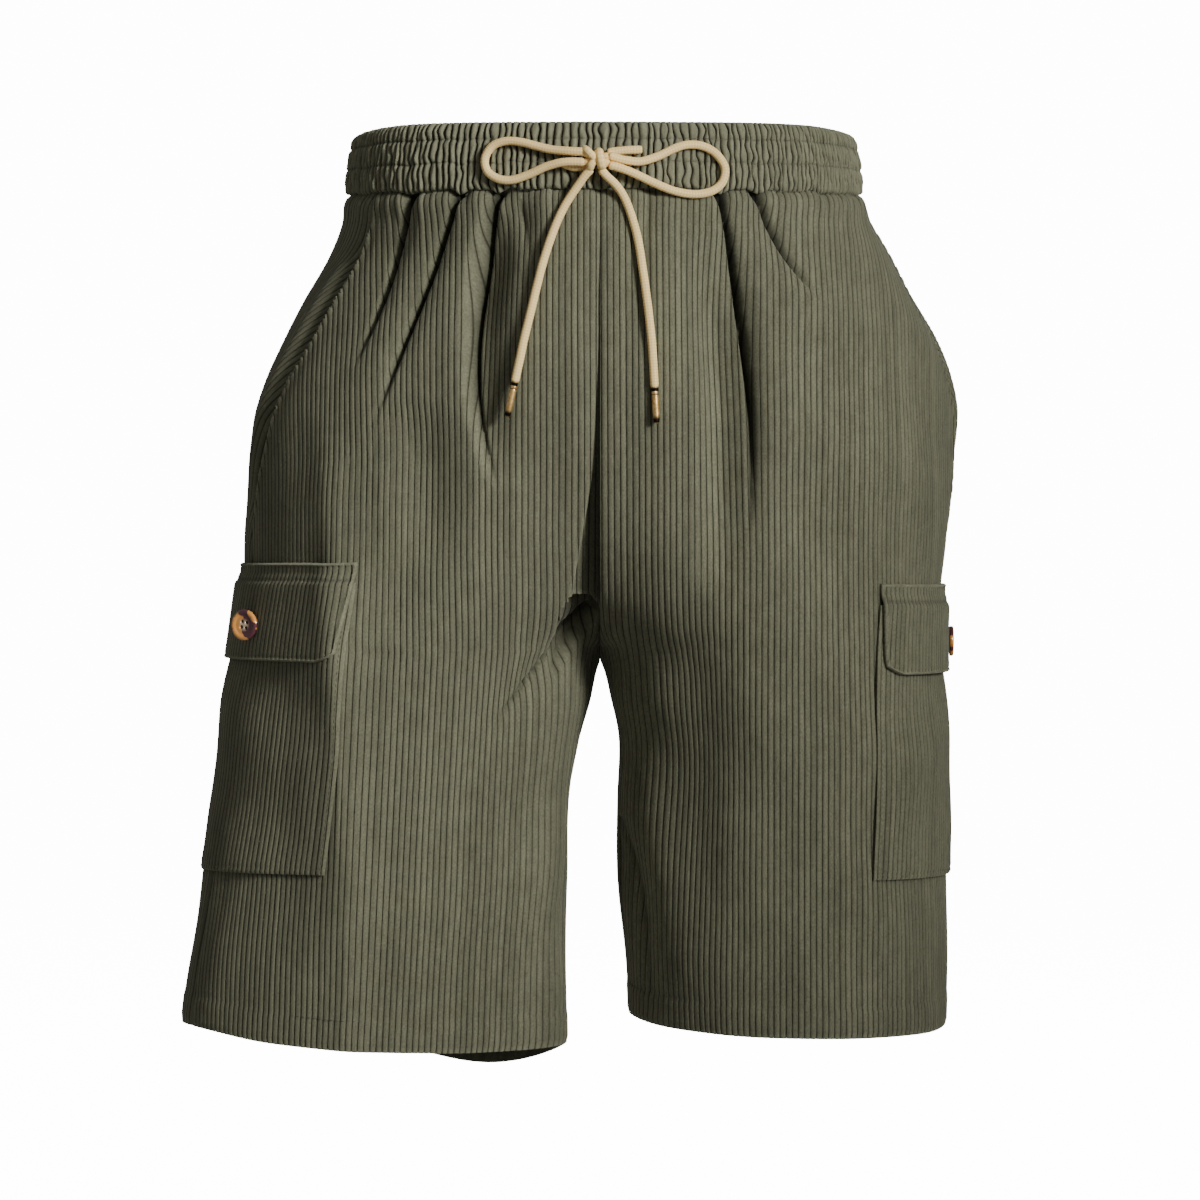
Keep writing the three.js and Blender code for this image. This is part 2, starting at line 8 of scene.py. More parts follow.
import bpy
import numpy as np
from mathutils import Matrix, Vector


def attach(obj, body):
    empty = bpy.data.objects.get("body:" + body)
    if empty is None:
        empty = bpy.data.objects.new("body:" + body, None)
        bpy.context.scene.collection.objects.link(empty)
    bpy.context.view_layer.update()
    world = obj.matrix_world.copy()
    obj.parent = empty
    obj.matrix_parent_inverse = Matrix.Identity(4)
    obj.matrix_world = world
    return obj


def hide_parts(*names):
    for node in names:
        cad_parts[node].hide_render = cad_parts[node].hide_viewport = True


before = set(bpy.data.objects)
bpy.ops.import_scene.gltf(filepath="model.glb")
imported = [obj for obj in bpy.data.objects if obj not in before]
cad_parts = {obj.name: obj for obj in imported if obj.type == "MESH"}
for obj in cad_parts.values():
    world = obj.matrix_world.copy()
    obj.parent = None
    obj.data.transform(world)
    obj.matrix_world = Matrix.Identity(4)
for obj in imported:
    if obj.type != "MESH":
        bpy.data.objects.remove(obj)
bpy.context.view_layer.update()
MM = 0.001
PI = np.pi

# Camera
CAMERA_PLACE = (0.0, -3.0, -0.06)
CAMERA_AIM = (0.0, 0.0, -0.26)
CAMERA_LENS = 153.6

# Cloth
CLOTH = 1.8 * MM
CASING = 3.2 * MM
BAG = 2.0 * MM
FLAP = 2.4 * MM
HALF_GAP = 0.15 * MM
WALE = 3.5 * MM
GROOVE = 0.75 * MM
INNER_WALE = 0.55
# Across one wale: the place of each column of points, and its height as a share of GROOVE
WALE_PLACES = np.array([0.0, 0.11, 0.34, 0.66, 0.89])
WALE_HEIGHTS = np.array([0.0, 0.8, 1.0, 1.0, 0.8])

# Heights
BAND_TOP = 17 * MM
BAND_ROWS = 32
SEAM_Z = -20.5 * MM
SEAM_DIP = 2.5 * MM
TOP_DIP = 5.5 * MM
CROTCH_Z = -284 * MM
VALLEY = 9 * MM
# The hips are round down to this height, and take each leg's own roundness over the next stretch
ROUND_TO_Z = -22 * MM
ROUND_FADE = 40 * MM
HEM = 18 * MM

# Sections of each leg by height: distances of the outer and inner end from the centre plane, depths in front
# and behind, and the angle of the outseam in front of the outer end
SECTION_COLUMNS = ("z", "outer", "inner", "front", "back", "seam")
RIGHT_SECTIONS = [
    (-0.019, 0.146, -0.146, 0.112, 0.113, 28),
    (-0.038, 0.150, -0.145, 0.117, 0.120, 28),
    (-0.061, 0.159, -0.142, 0.119, 0.128, 27),
    (-0.084, 0.172, -0.137, 0.121, 0.134, 26),
    (-0.108, 0.185, -0.129, 0.122, 0.139, 25),
    (-0.131, 0.196, -0.119, 0.121, 0.142, 23),
    (-0.155, 0.203, -0.107, 0.119, 0.142, 21),
    (-0.213, 0.208, -0.069, 0.108, 0.132, 15),
    (-0.248, 0.208, -0.037, 0.100, 0.122, 15),
    (-0.284, 0.212, 0.0, 0.093, 0.112, 16),
    (-0.319, 0.218, 0.006, 0.087, 0.102, 17),
    (-0.342, 0.221, 0.012, 0.084, 0.096, 18),
    (-0.377, 0.226, 0.018, 0.080, 0.089, 18),
    (-0.424, 0.234, 0.019, 0.076, 0.082, 18),
    (-0.471, 0.242, 0.020, 0.074, 0.078, 18),
    (-0.520, 0.248, 0.019, 0.073, 0.076, 18),
]
LEFT_SECTIONS = [
    (-0.019, 0.151, -0.151, 0.112, 0.113, 0),
    (-0.038, 0.157, -0.150, 0.117, 0.120, 1),
    (-0.061, 0.170, -0.147, 0.120, 0.128, 2),
    (-0.084, 0.182, -0.141, 0.123, 0.134, 3),
    (-0.108, 0.195, -0.132, 0.125, 0.139, 4),
    (-0.131, 0.203, -0.121, 0.126, 0.142, 5),
    (-0.155, 0.207, -0.108, 0.126, 0.142, 5),
    (-0.213, 0.204, -0.069, 0.120, 0.134, 5),
    (-0.248, 0.200, -0.037, 0.115, 0.127, 5),
    (-0.284, 0.197, 0.0, 0.109, 0.119, 5),
    (-0.319, 0.199, 0.007, 0.105, 0.112, 5),
    (-0.342, 0.201, 0.011, 0.103, 0.108, 5),
    (-0.377, 0.203, 0.010, 0.101, 0.104, 5),
    (-0.424, 0.204, 0.010, 0.099, 0.101, 5),
    (-0.471, 0.205, 0.015, 0.098, 0.099, 5),
    (-0.520, 0.204, 0.017, 0.097, 0.098, 5),
]
# Heights of each hem, by share of the way round: 0 inseam, 1 outseam, 2 inseam again behind
RIGHT_HEM = [
    (0, -0.521), (0.25, -0.519), (0.5, -0.517), (0.75, -0.514), (1, -0.509),
    (1.25, -0.513), (1.5, -0.530), (1.75, -0.543), (2, -0.521),
]
LEFT_HEM = [(0, -0.503), (0.5, -0.505), (1, -0.509), (1.5, -0.506), (2, -0.503)]

# Folds. x is the distance from the centre plane at the two ends, bow how far the middle stands out from the
# line between them, depth is inwards (a ridge is below zero), near and far are the widths towards the centre and
# away from it, start the share of the depth at the top, crease the depth of a narrow crease along the line.
FOLD_COLUMNS = ("x1", "z1", "x2", "z2", "bow", "depth", "near", "far", "start", "crease")
FOLDS = {
    "right_front": [
        (0.107, -0.021, 0.140, -0.122, -0.002, 0.0025, 0.007, 0.010, 0.2, 0.0055),
        (0.079, -0.020, 0.128, -0.152, 0.0, 0.003, 0.007, 0.010, 0.2, 0.0065),
        (0.057, -0.021, 0.057, -0.190, 0.016, 0.0155, 0.0185, 0.004, 0.12, 0.0065),
        (0.047, -0.021, 0.040, -0.062, 0.0, 0.003, 0.008, 0.008, 0.2, 0.001),
        (0.101, -0.140, 0.098, -0.240, 0.0, 0.005, 0.018, 0.018, 0, 0.0),
        (0.006, -0.090, 0.012, -0.240, 0.0, -0.0045, 0.006, 0.012, 0, 0.0),
        (0.003, -0.264, 0.062, -0.330, 0.002, 0.004, 0.009, 0.012, 0.2, 0.0040),
        (0.150, -0.175, 0.154, -0.560, 0.0, -0.0065, 0.026, 0.022, 0, 0.0),
        (0.158, -0.140, 0.152, -0.580, -0.010, -0.0035, 0.012, 0.009, 0, 0.0),
    ],
    "left_front": [
        (0.067, -0.021, 0.084, -0.215, 0.009, 0.004, 0.007, 0.006, 0.2, 0.0080),
        (0.062, -0.045, 0.067, -0.250, 0.004, 0.017, 0.012, 0.017, 0, 0.0),
        (0.088, -0.020, 0.122, -0.082, -0.003, 0.003, 0.009, 0.006, 0.2, 0.0055),
        (0.113, -0.055, 0.136, -0.175, 0.002, -0.003, 0.014, 0.012, 0, 0.0),
        (0.028, -0.021, 0.022, -0.110, 0.0, 0.003, 0.009, 0.009, 0.2, 0.001),
        (0.052, -0.270, 0.048, -0.460, 0.0, 0.006, 0.026, 0.024, 0, 0.0),
        (0.010, -0.385, 0.031, -0.505, 0.001, 0.005, 0.009, 0.009, 0, 0.0015),
    ],
    "back": [
        (0.022, -0.021, 0.014, -0.130, 0.0, 0.005, 0.009, 0.013, 0.2, 0.003),
        (0.058, -0.021, 0.070, -0.165, 0.003, 0.007, 0.016, 0.009, 0.2, 0.0045),
        (0.096, -0.021, 0.128, -0.140, -0.003, 0.006, 0.009, 0.014, 0.2, 0.004),
        (0.030, -0.215, 0.084, -0.330, -0.004, 0.004, 0.014, 0.016, 0, 0.001),
        (0.108, -0.300, 0.112, -0.480, 0.004, 0.005, 0.022, 0.022, 0, 0.0),
    ],
}
CREASE_NEAR = 1.25 * MM
CREASE_FAR = 1.8 * MM
# Depth of a crease at which the painted shade in it is full
CREASE_DARK = 4.2 * MM
# Folds end above their first point: how far above, and over what height
FOLD_TOP = 2 * MM
FOLD_FADE = 2.5 * MM

# Waistband
GATHERS = 226
GATHER_DEPTH = 1.75 * MM

# Cargo pockets, over the outseams
POCKETS = {
    "right": {"top": -0.236, "flap": 0.057, "foot": -0.417, "ahead": 0.017, "swing": -0.007, "button": 0.006,
              "turned": 24},
    "left": {"top": -0.249, "flap": 0.052, "foot": -0.419, "ahead": 0.009, "swing": 0.006, "button": -0.016,
             "turned": 0},
}
POCKET_TILT = 0.05
PATCH_LIFT = 0.9 * MM
BAG_HALF = 79 * MM
BAG_BELOW = 12 * MM
BAG_BELLY = 1.6 * MM
FLAP_HALF_TOP = 80 * MM
FLAP_HALF_FOOT = 75 * MM
FLAP_CORNER = 5 * MM
FLAP_SEAM = 10 * MM
BAG_STITCH = 3 * MM
BUTTON_RADIUS = 9 * MM
BUTTON_HOLE_PITCH = 3.2 * MM
BUTTON_LEVEL = 0.65

# Drawstring
CORD_RADIUS = 2.4 * MM
KNOT = np.array((-0.002, -0.1214, -0.003))
ROUTES = {
    "bow_loop_right": [
        (-0.0085, -0.1222, -0.0002), (-0.017, -0.1204, 0.0002), (-0.0276, -0.1164, 0.0012),
        (-0.036, -0.1136, 0.0032), (-0.0444, -0.1108, 0.0054), (-0.053, -0.1078, 0.006),
        (-0.0606, -0.1054, 0.0032), (-0.0648, -0.1046, -0.0036), (-0.0636, -0.1058, -0.0106),
        (-0.0576, -0.1086, -0.015), (-0.05, -0.1108, -0.0159), (-0.04, -0.1138, -0.0128),
        (-0.03, -0.1174, -0.0084), (-0.02, -0.1208, -0.006), (-0.0086, -0.1224, -0.006),
    ],
    "bow_loop_left": [
        (0.005, -0.1222, -0.0024), (0.013, -0.1204, -0.0046), (0.0225, -0.1172, -0.0056),
        (0.0326, -0.114, -0.0026), (0.04, -0.1116, 0.001), (0.0474, -0.1096, 0.0036),
        (0.0562, -0.107, 0.0036), (0.0646, -0.1048, -0.0004), (0.0704, -0.1042, -0.009),
        (0.0688, -0.1056, -0.0172), (0.063, -0.1076, -0.022), (0.053, -0.1106, -0.0238),
        (0.0416, -0.1138, -0.022), (0.03, -0.1168, -0.0174), (0.018, -0.1202, -0.0118),
        (0.01, -0.1222, -0.0088), (0.0052, -0.1226, -0.0076),
    ],
    "cord_end_right": [
        (-0.005, -0.122, -0.0099), (-0.008, -0.121, -0.013), (-0.0124, -0.1192, -0.0191),
        (-0.019, -0.1178, -0.029), (-0.024, -0.118, -0.039), (-0.028, -0.1188, -0.0495),
        (-0.032, -0.1204, -0.062), (-0.0356, -0.1218, -0.076), (-0.0392, -0.1232, -0.091),
        (-0.0424, -0.1239, -0.104), (-0.0452, -0.1239, -0.117), (-0.0478, -0.1236, -0.129),
    ],
    "cord_end_left": [
        (0.0004, -0.122, -0.0101), (0.004, -0.1212, -0.014), (0.0086, -0.1198, -0.0184),
        (0.013, -0.1184, -0.0245), (0.017, -0.1181, -0.034), (0.0212, -0.1192, -0.049),
        (0.0238, -0.1216, -0.065), (0.0262, -0.1244, -0.082), (0.028, -0.1266, -0.097),
        (0.0294, -0.1281, -0.112), (0.0306, -0.129, -0.132),
    ],
    "cord_lead_right": [
        (-0.0066, -0.1159, -0.007), (-0.0104, -0.1159, -0.0084), (-0.015, -0.1159, -0.0086),
        (-0.0204, -0.1152, -0.0069),
    ],
    "cord_lead_left": [
        (0.0043, -0.116, -0.0006), (0.0096, -0.1156, 0.0002), (0.016, -0.1152, 0.0008),
        (0.0236, -0.1144, 0.001),
    ],
}


# Shared tools


def mix(a, b, share):
    return a + (b - a) * share


def ease(share):
    """A share that starts and ends slowly, held between 0 and 1."""
    held = np.clip(share, 0, 1)
    return held * held * (3 - 2 * held)


def smooth_curve(keys, values):
    """A smooth curve through the rows of a table, as a function of its key column."""
    order = np.argsort(keys)
    k = np.asarray(keys, float)[order]
    v = np.asarray(values, float)[order]
    slope = np.empty_like(v)
    slope[1:-1] = (v[2:] - v[:-2]) / (k[2:] - k[:-2])
    slope[0] = (v[1] - v[0]) / (k[1] - k[0])
    slope[-1] = (v[-1] - v[-2]) / (k[-1] - k[-2])

    def at(place):
        i = np.clip(np.searchsorted(k, place, side="right") - 1, 0, len(k) - 2)
        step = k[i + 1] - k[i]
        q = (place - k[i]) / step
        rise = v[i + 1] - v[i]
        bend = q * (1 - q)
        first = bend * (1 - q) * (slope[i] * step - rise)
        return v[i] + rise * q + first + bend * q * (rise - slope[i + 1] * step)

    return at


def unit(vectors):
    return vectors / np.maximum(np.linalg.norm(vectors, axis=-1, keepdims=True), 1e-12)


def bell(distance, width):
    return np.exp(-((distance / width) ** 2))


def waves(place, lengths, seed):
    """A smooth uneven line between about -1 and 1, made of one wave of each length."""
    rng = np.random.default_rng(seed)
    total = sum(np.sin(2 * PI * place / length + rng.uniform(0, 2 * PI)) for length in lengths)
    return total / len(lengths) ** 0.5


def build(name, points, faces, material, attributes=None, nodes=(), sharp=50):
    """A mesh object from points and faces, riding on the root body, its faces turned outwards."""
    mesh = bpy.data.meshes.new(name)
    mesh.from_pydata(np.asarray(points).tolist(), [], faces)
    for key, values in (attributes or {}).items():
        values = np.asarray(values, np.float32)
        kind = "FLOAT_VECTOR" if values.ndim == 2 else "FLOAT"
        layer = mesh.attributes.new(key, kind, "POINT")
        layer.data.foreach_set("vector" if values.ndim == 2 else "value", values.ravel())
    mesh.update()
    triangles = [(f[0], f[i], f[i + 1]) for f in faces for i in range(1, len(f) - 1)]
    corner = np.asarray(points)[np.asarray(triangles)]
    volume = np.einsum("ij,ij->i", corner[:, 0], np.cross(corner[:, 1], corner[:, 2])).sum()
    if volume < 0:
        mesh.flip_normals()
    mesh.polygons.foreach_set("use_smooth", [True] * len(mesh.polygons))
    mesh.set_sharp_from_angle(angle=np.radians(sharp))
    mesh.materials.append(material)
    piece = bpy.data.objects.new(name, mesh)
    bpy.context.scene.collection.objects.link(piece)
    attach(piece, "root")
    if nodes:
        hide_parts(*nodes)
    return piece


# Shells: a grid of points outside, a coarser one inside and a rim between them


def grid_ids(same, first):
    """Numbers of a grid's points. same marks each point that shares the number of its left neighbour."""
    fresh = ~same
    return (first + np.cumsum(fresh.ravel()) - 1).reshape(same.shape)


def without_repeats(corners):
    kept = [c for n, c in enumerate(corners) if c != corners[n - 1]]
    return kept if len(kept) > 2 else None


def grid_faces(ids, turned):
    faces = []
    a, b, c, d = ids[:-1, :-1], ids[1:, :-1], ids[1:, 1:], ids[:-1, 1:]
    for quad in np.stack([a, b, c, d], -1).reshape(-1, 4).tolist():
        face = without_repeats(quad)
        if face:
            faces.append(face[::-1] if turned else face)
    return faces


def shell(outside, inside, picked_rows, picked_columns, same):
    """Faces of a closed shell. picked_rows and picked_columns are the outer lines that the inner grid has."""
    inner_same = np.zeros(inside.shape[:2], bool)
    for n in range(1, len(picked_columns)):
        span = slice(picked_columns[n - 1] + 1, picked_columns[n] + 1)
        inner_same[:, n] = same[picked_rows][:, span].all(axis=1)
    out_ids = grid_ids(same, 0)
    in_ids = grid_ids(inner_same, out_ids.max() + 1)
    faces = grid_faces(out_ids, False) + grid_faces(in_ids, True)
    ends = ((0, False), (-1, True))
    for edge, turned in ends:
        for n in range(len(picked_columns) - 1):
            outer = out_ids[edge, picked_columns[n]:picked_columns[n + 1] + 1].tolist()
            ring = outer + [int(in_ids[edge, n + 1]), int(in_ids[edge, n])]
            face = without_repeats(ring)
            if face:
                faces.append(face[::-1] if turned else face)
        for n in range(len(picked_rows) - 1):
            outer = out_ids[picked_rows[n]:picked_rows[n + 1] + 1, edge].tolist()
            ring = outer + [int(in_ids[n + 1, edge]), int(in_ids[n, edge])]
            face = without_repeats(ring)
            if face:
                faces.append(face if turned else face[::-1])
    return faces, ~same, ~inner_same


def make_shell(name, outside, inside, steps, same, material, attributes, node, sharp=50):
    """A shell between two grids of points of one size. The inner one keeps one line in each of its two steps."""
    rows, columns = outside.shape[:2]
    picked_rows = sorted(set(range(0, rows, steps[0])) | {rows - 1})
    picked_columns = sorted(set(range(0, columns, steps[1])) | {columns - 1})
    within = inside[picked_rows][:, picked_columns]
    faces, out_kept, in_kept = shell(outside, within, picked_rows, picked_columns, same)
    points = np.concatenate([outside[out_kept], within[in_kept]])
    merged = {}
    for key, values in attributes.items():
        inner = values[picked_rows][:, picked_columns]
        if key == "wale":
            inner = np.full(inner.shape, INNER_WALE)
        merged[key] = np.concatenate([values[out_kept], inner[in_kept]])
    return build(name, points, faces, material, merged, [node], sharp)


def tube_faces(rows, sides):
    """Quads of a tube of rings, one ring's points after the other's."""
    ids = np.arange(rows * sides).reshape(rows, sides)
    turned = np.roll(ids, -1, axis=1)
    return np.stack([ids[:-1], turned[:-1], turned[1:], ids[1:]], -1).reshape(-1, 4).tolist()


def capped_tube_faces(rows, sides):
    """The same, closed by one point at either end. Those two points come after the rings."""
    first, last = range(sides), range((rows - 1) * sides, rows * sides)
    faces = tube_faces(rows, sides)
    faces += [[rows * sides, first[n - sides + 1], first[n]] for n in range(sides)]
    return faces + [[rows * sides + 1, last[n], last[n - sides + 1]] for n in range(sides)]


def wale_columns(low, high):
    """Places across a panel of the columns of points, five to a wale, and their heights."""
    first, last = int(np.floor(low / WALE)), int(np.ceil(high / WALE))
    places = (np.arange(first, last)[:, None] + WALE_PLACES) * WALE
    heights = np.tile(WALE_HEIGHTS, last - first)
    return places.ravel(), heights


# Legs


class Leg:
    """The surface of one leg."""

    Z = np.arange(-0.012, -0.548, -0.001)
    SHARE = np.linspace(0, 1, 241)

    def __init__(self, name, side, power, sections, hem):
        self.name, self.side, self.power = name, side, power
        columns = dict(zip(SECTION_COLUMNS, zip(*sections)))
        self.curve = {key: smooth_curve(columns["z"], columns[key]) for key in SECTION_COLUMNS[1:]}
        self.hem = smooth_curve(*zip(*hem))
        self.table = {front: self.tabulate(front) for front in (True, False)}

    def tabulate(self, front):
        z = self.Z[:, None]
        outer, inner, ahead, behind, seam = (self.curve[key](z) for key in SECTION_COLUMNS[1:])
        half, centre = (outer - inner) / 2, (outer + inner) / 2
        lean = np.where(z > CROTCH_Z, np.clip(centre / half, 0, 1), 1)
        valley = VALLEY * (1 - lean ** 4) * np.clip(4 * lean, 0, 1)
        end = np.arccos(-lean) * (1 if front else -1)
        angle = mix(end, np.radians(seam), np.linspace(0, 1, 481))
        turn = np.abs(angle)
        below_band = ease((ROUND_TO_Z - z) / ROUND_FADE)
        power = 2 / np.where(turn < PI / 2, mix(2, self.power, below_band), 2)
        x = centre + half * np.sign(np.cos(turn)) * np.abs(np.cos(turn)) ** power
        depth = np.where(angle > 0, ahead, behind)
        y = depth * np.sin(turn) ** power
        eased = np.hypot(x, valley)
        dip = depth * np.sqrt(np.clip(1 - ((eased - centre) / half) ** 2, 0, 1))
        y = np.where((valley > 0) & (x < centre) & (eased < centre), dip, y)
        y = np.where(angle > 0, -y, y)
        steps = np.hypot(np.diff(x, axis=1), np.diff(y, axis=1))
        run = np.concatenate([np.zeros((len(x), 1)), np.cumsum(steps, axis=1)], axis=1)
        length = run[:, -1]
        even = [(np.interp(self.SHARE * s[-1], s, a), np.interp(self.SHARE * s[-1], s, b))
                for s, a, b in zip(run, x, y)]
        x, y = (np.array(column) for column in zip(*even))
        around = np.stack([np.gradient(x, axis=1), np.gradient(y, axis=1), np.zeros_like(x)], -1)
        around *= 1 if front else -1
        down = np.gradient(np.stack([x, y, np.broadcast_to(z, x.shape)], -1), axis=0)
        normal = unit(np.cross(around, -down))
        length = np.broadcast_to(length[:, None, None], (*x.shape, 1))
        return np.concatenate([np.stack([x, y], -1), normal, length], -1)

    def skin(self, front, share, z):
        """x, y, the normal and the half's length round, at each share and height."""
        share, z = np.broadcast_arrays(np.asarray(share, float), np.asarray(z, float))
        i = np.clip((self.Z[0] - z) / 0.001, 0, len(self.Z) - 1.001)
        j = np.clip(share, 0, 1) * (len(self.SHARE) - 1)
        j = np.minimum(j, len(self.SHARE) - 1.001)
        i0, j0 = i.astype(int), j.astype(int)
        fi, fj = (i - i0)[..., None], (j - j0)[..., None]
        table = self.table[front]
        above = table[i0, j0] * (1 - fj) + table[i0, j0 + 1] * fj
        below = table[i0 + 1, j0] * (1 - fj) + table[i0 + 1, j0 + 1] * fj
        return above * (1 - fi) + below * fi

    def folds(self, front):
        return FOLDS[f"{self.name}_front" if front else "back"]

    def cloth(self, front, share, z, out, creased=False):
        """Points of the cloth, moved out by so much, with or without the narrow creases."""
        spot = self.skin(front, share, z)
        x, y, normal = spot[..., 0], spot[..., 1], spot[..., 2:5]
        move = out + fold_relief(self.folds(front), x, z)
        if creased:
            move = move - creases(self.folds(front), x, z)
        x = np.maximum(0, x + normal[..., 0] * move)
        x = np.where((share <= 0) & (z > CROTCH_Z), 0, x)
        return np.stack([self.side * x, y + normal[..., 1] * move, z + normal[..., 2] * move], -1)

    def ahead(self, distance, z, out):
        """Points by their distance in front of the outseam, below zero behind it."""
        points = []
        for front in (True, False):
            length = self.skin(front, 1, z)[..., 5]
            share = np.where(front, 1 - distance / length, 1 + distance / length)
            points.append(self.cloth(front, share, z, out))
        return np.where((distance > 0)[..., None], *points)


def fold_parts(fold, x, z):
    """Distance from a fold's line, and the shares of depth that its broad form and its crease have there."""
    q = (fold["z1"] - z) / (fold["z1"] - fold["z2"])
    late = np.clip(q, 0, 1)
    rise = mix(fold["start"], 1, np.sin(np.clip(q / 0.35, 0, 1) * PI / 2))
    fall = np.cos(np.clip((q - 0.35) / 0.65, 0, 1) * PI / 2)
    shown = (q < 1) & ((q > 0) | (fold["start"] > 0))
    shown = shown * np.clip((fold["z1"] + FOLD_TOP - z) / FOLD_FADE, 0, 1)
    line = mix(fold["x1"], fold["x2"], late) + fold["bow"] * 4 * late * (1 - late)
    return x - line, shown * rise * fall, shown * fall


def fold_relief(rows, x, z):
    """How far the folds move the cloth outwards."""
    out = np.zeros(np.broadcast(x, z).shape)
    for row in rows:
        fold = dict(zip(FOLD_COLUMNS, row))
        away, strength, _ = fold_parts(fold, x, z)
        out -= fold["depth"] * strength * bell(away, np.where(away > 0, fold["far"], fold["near"]))
    return out


def creases(rows, x, z):
    """Depth of the narrow creases along the folds, widest at the waistband."""
    depth = np.zeros(np.broadcast(x, z).shape)
    for row in rows:
        fold = dict(zip(FOLD_COLUMNS, row))
        if fold["crease"]:
            away, _, strength = fold_parts(fold, x, z)
            wider = 1 + 1.6 * np.exp(-np.clip(fold["z1"] - z, 0, 1) / 0.004)
            width = wider * np.where(away > 0, CREASE_FAR, CREASE_NEAR)
            depth += fold["crease"] * strength * bell(away, width)
    return depth


LEGS = {
    "right": Leg("right", -1, 1.72, RIGHT_SECTIONS, RIGHT_HEM),
    "left": Leg("left", 1, 2.0, LEFT_SECTIONS, LEFT_HEM),
}


# Where creases start at the waistband, its seam dips
NOTCHES = [side * row[0] for side, rows in ((-1, FOLDS["right_front"]), (1, FOLDS["left_front"]))
           for row in rows if row[-1] > 0.003 and row[1] > -0.03]
NOTCH_WIDTH = 3.2 * MM
NOTCH_DIP = 2.2 * MM


def seam_height(x):
    """Height of the waistband's seam at a distance from the centre plane, below zero to the right."""
    uneven = 0.6 * MM * waves(x, (0.0113, 0.0187, 0.034), 7)
    notches = sum(bell(x - place, NOTCH_WIDTH) for place in NOTCHES)
    return SEAM_Z - SEAM_DIP * (x / 0.148) ** 2 + uneven - NOTCH_DIP * notches


# Materials


def node_material(name):
    material = bpy.data.materials.new(name)
    material.use_nodes = True
    tree = material.node_tree
    return material, tree, tree.nodes["Principled BSDF"]


def add_node(tree, kind, settings=None, inputs=None):
    node = tree.nodes.new(kind)
    for key, value in (settings or {}).items():
        setattr(node, key, value)
    for key, value in (inputs or {}).items():
        if isinstance(value, bpy.types.NodeSocket):
            tree.links.new(value, node.inputs[key])
        else:
            node.inputs[key].default_value = value
    return node


def blend_colour(tree, kind, share, a, b):
    node = add_node(tree, "ShaderNodeMix", {"data_type": "RGBA", "blend_type": kind})
    for socket, value in zip((node.inputs[0], node.inputs[6], node.inputs[7]), (share, a, b)):
        if isinstance(value, bpy.types.NodeSocket):
            tree.links.new(value, socket)
        else:
            socket.default_value = value
    return node.outputs[2]


def remap(tree, value, low, high, to_low, to_high):
    node = add_node(tree, "ShaderNodeMapRange", {"clamp": True}, {
        "Value": value, "From Min": low, "From Max": high, "To Min": to_low, "To Max": to_high,
    })
    return node.outputs["Result"]


def attribute(tree, name, output="Fac"):
    return add_node(tree, "ShaderNodeAttribute", {"attribute_name": name}).outputs[output]


def noise(tree, place, scale, detail, stretch=None):
    if stretch:
        place = add_node(tree, "ShaderNodeMapping", {}, {"Vector": place, "Scale": stretch}).outputs["Vector"]
    roughness = 0.6 if stretch else 0.5
    inputs = {"Vector": place, "Scale": scale, "Detail": detail, "Roughness": roughness}
    return add_node(tree, "ShaderNodeTexNoise", {}, inputs).outputs["Fac"]


def times_grey(tree, base, grey):
    shade = add_node(tree, "ShaderNodeCombineColor", {}, {"Red": grey, "Green": grey, "Blue": grey})
    return blend_colour(tree, "MULTIPLY", 1.0, base, shade.outputs["Color"])


def finish_material(material, tree, shader, base, sockets, bump=None):
    """The base colour, a bump of (height, strength, distance), and the values that hold all over the surface."""
    tree.links.new(base, shader.inputs["Base Color"])
    if bump:
        node = add_node(tree, "ShaderNodeBump", {}, dict(zip(("Height", "Strength", "Distance"), bump)))
        tree.links.new(node.outputs["Normal"], shader.inputs["Normal"])
    for key, value in sockets.items():
        shader.inputs[key].default_value = value
    return material


def corduroy_material(name, ridge, groove, pile_bump=0.35):
    """Ribbed pile: light ridges, grooves with painted shade, a fine nap, and wales that differ a little from each
    other.
    The shade attribute adds painted shade above zero and a painted highlight below zero.
    """
    material, tree, shader = node_material(name)
    grain = attribute(tree, "grain", "Vector")
    pile = noise(tree, grain, 1500.0, 3.0, (1.0, 0.45, 1.0))
    clumps = noise(tree, grain, 260.0, 3.0, (1.0, 0.35, 1.0))
    rubbed = noise(tree, grain, 26.0, 2.0, (1.0, 0.6, 1.0))
    strands = noise(tree, grain, 270.0, 0.0, (1.0, 0.012, 0.0))
    wale = remap(tree, attribute(tree, "wale"), 0.15, 0.95, 0.0, 1.0)
    # The groove colour is painted shade in the grooves between the wales
    base = blend_colour(tree, "MIX", wale, (*groove, 1), (*ridge, 1))
    for value, spread in ((pile, 0.28), (clumps, 0.16), (rubbed, 0.12), (strands, 0.14)):
        base = times_grey(tree, base, remap(tree, value, 0.25, 0.75, 1 - spread, 1 + spread))
    # Painted shade where the shade attribute is above zero, painted highlight where it is below
    base = times_grey(tree, base, remap(tree, attribute(tree, "shade"), -0.6, 1.0, 1.5, 0.2))
    height = add_node(tree, "ShaderNodeMath", {"operation": "ADD"}, {0: pile, 1: clumps}).outputs[0]
    sockets = {
        "Roughness": 0.92, "Specular IOR Level": 0.15, "Sheen Weight": 0.22, "Sheen Roughness": 0.45,
        "Sheen Tint": (0.8, 0.78, 0.64, 1),
    }
    return finish_material(material, tree, shader, base, sockets, (height, pile_bump, 0.0004))


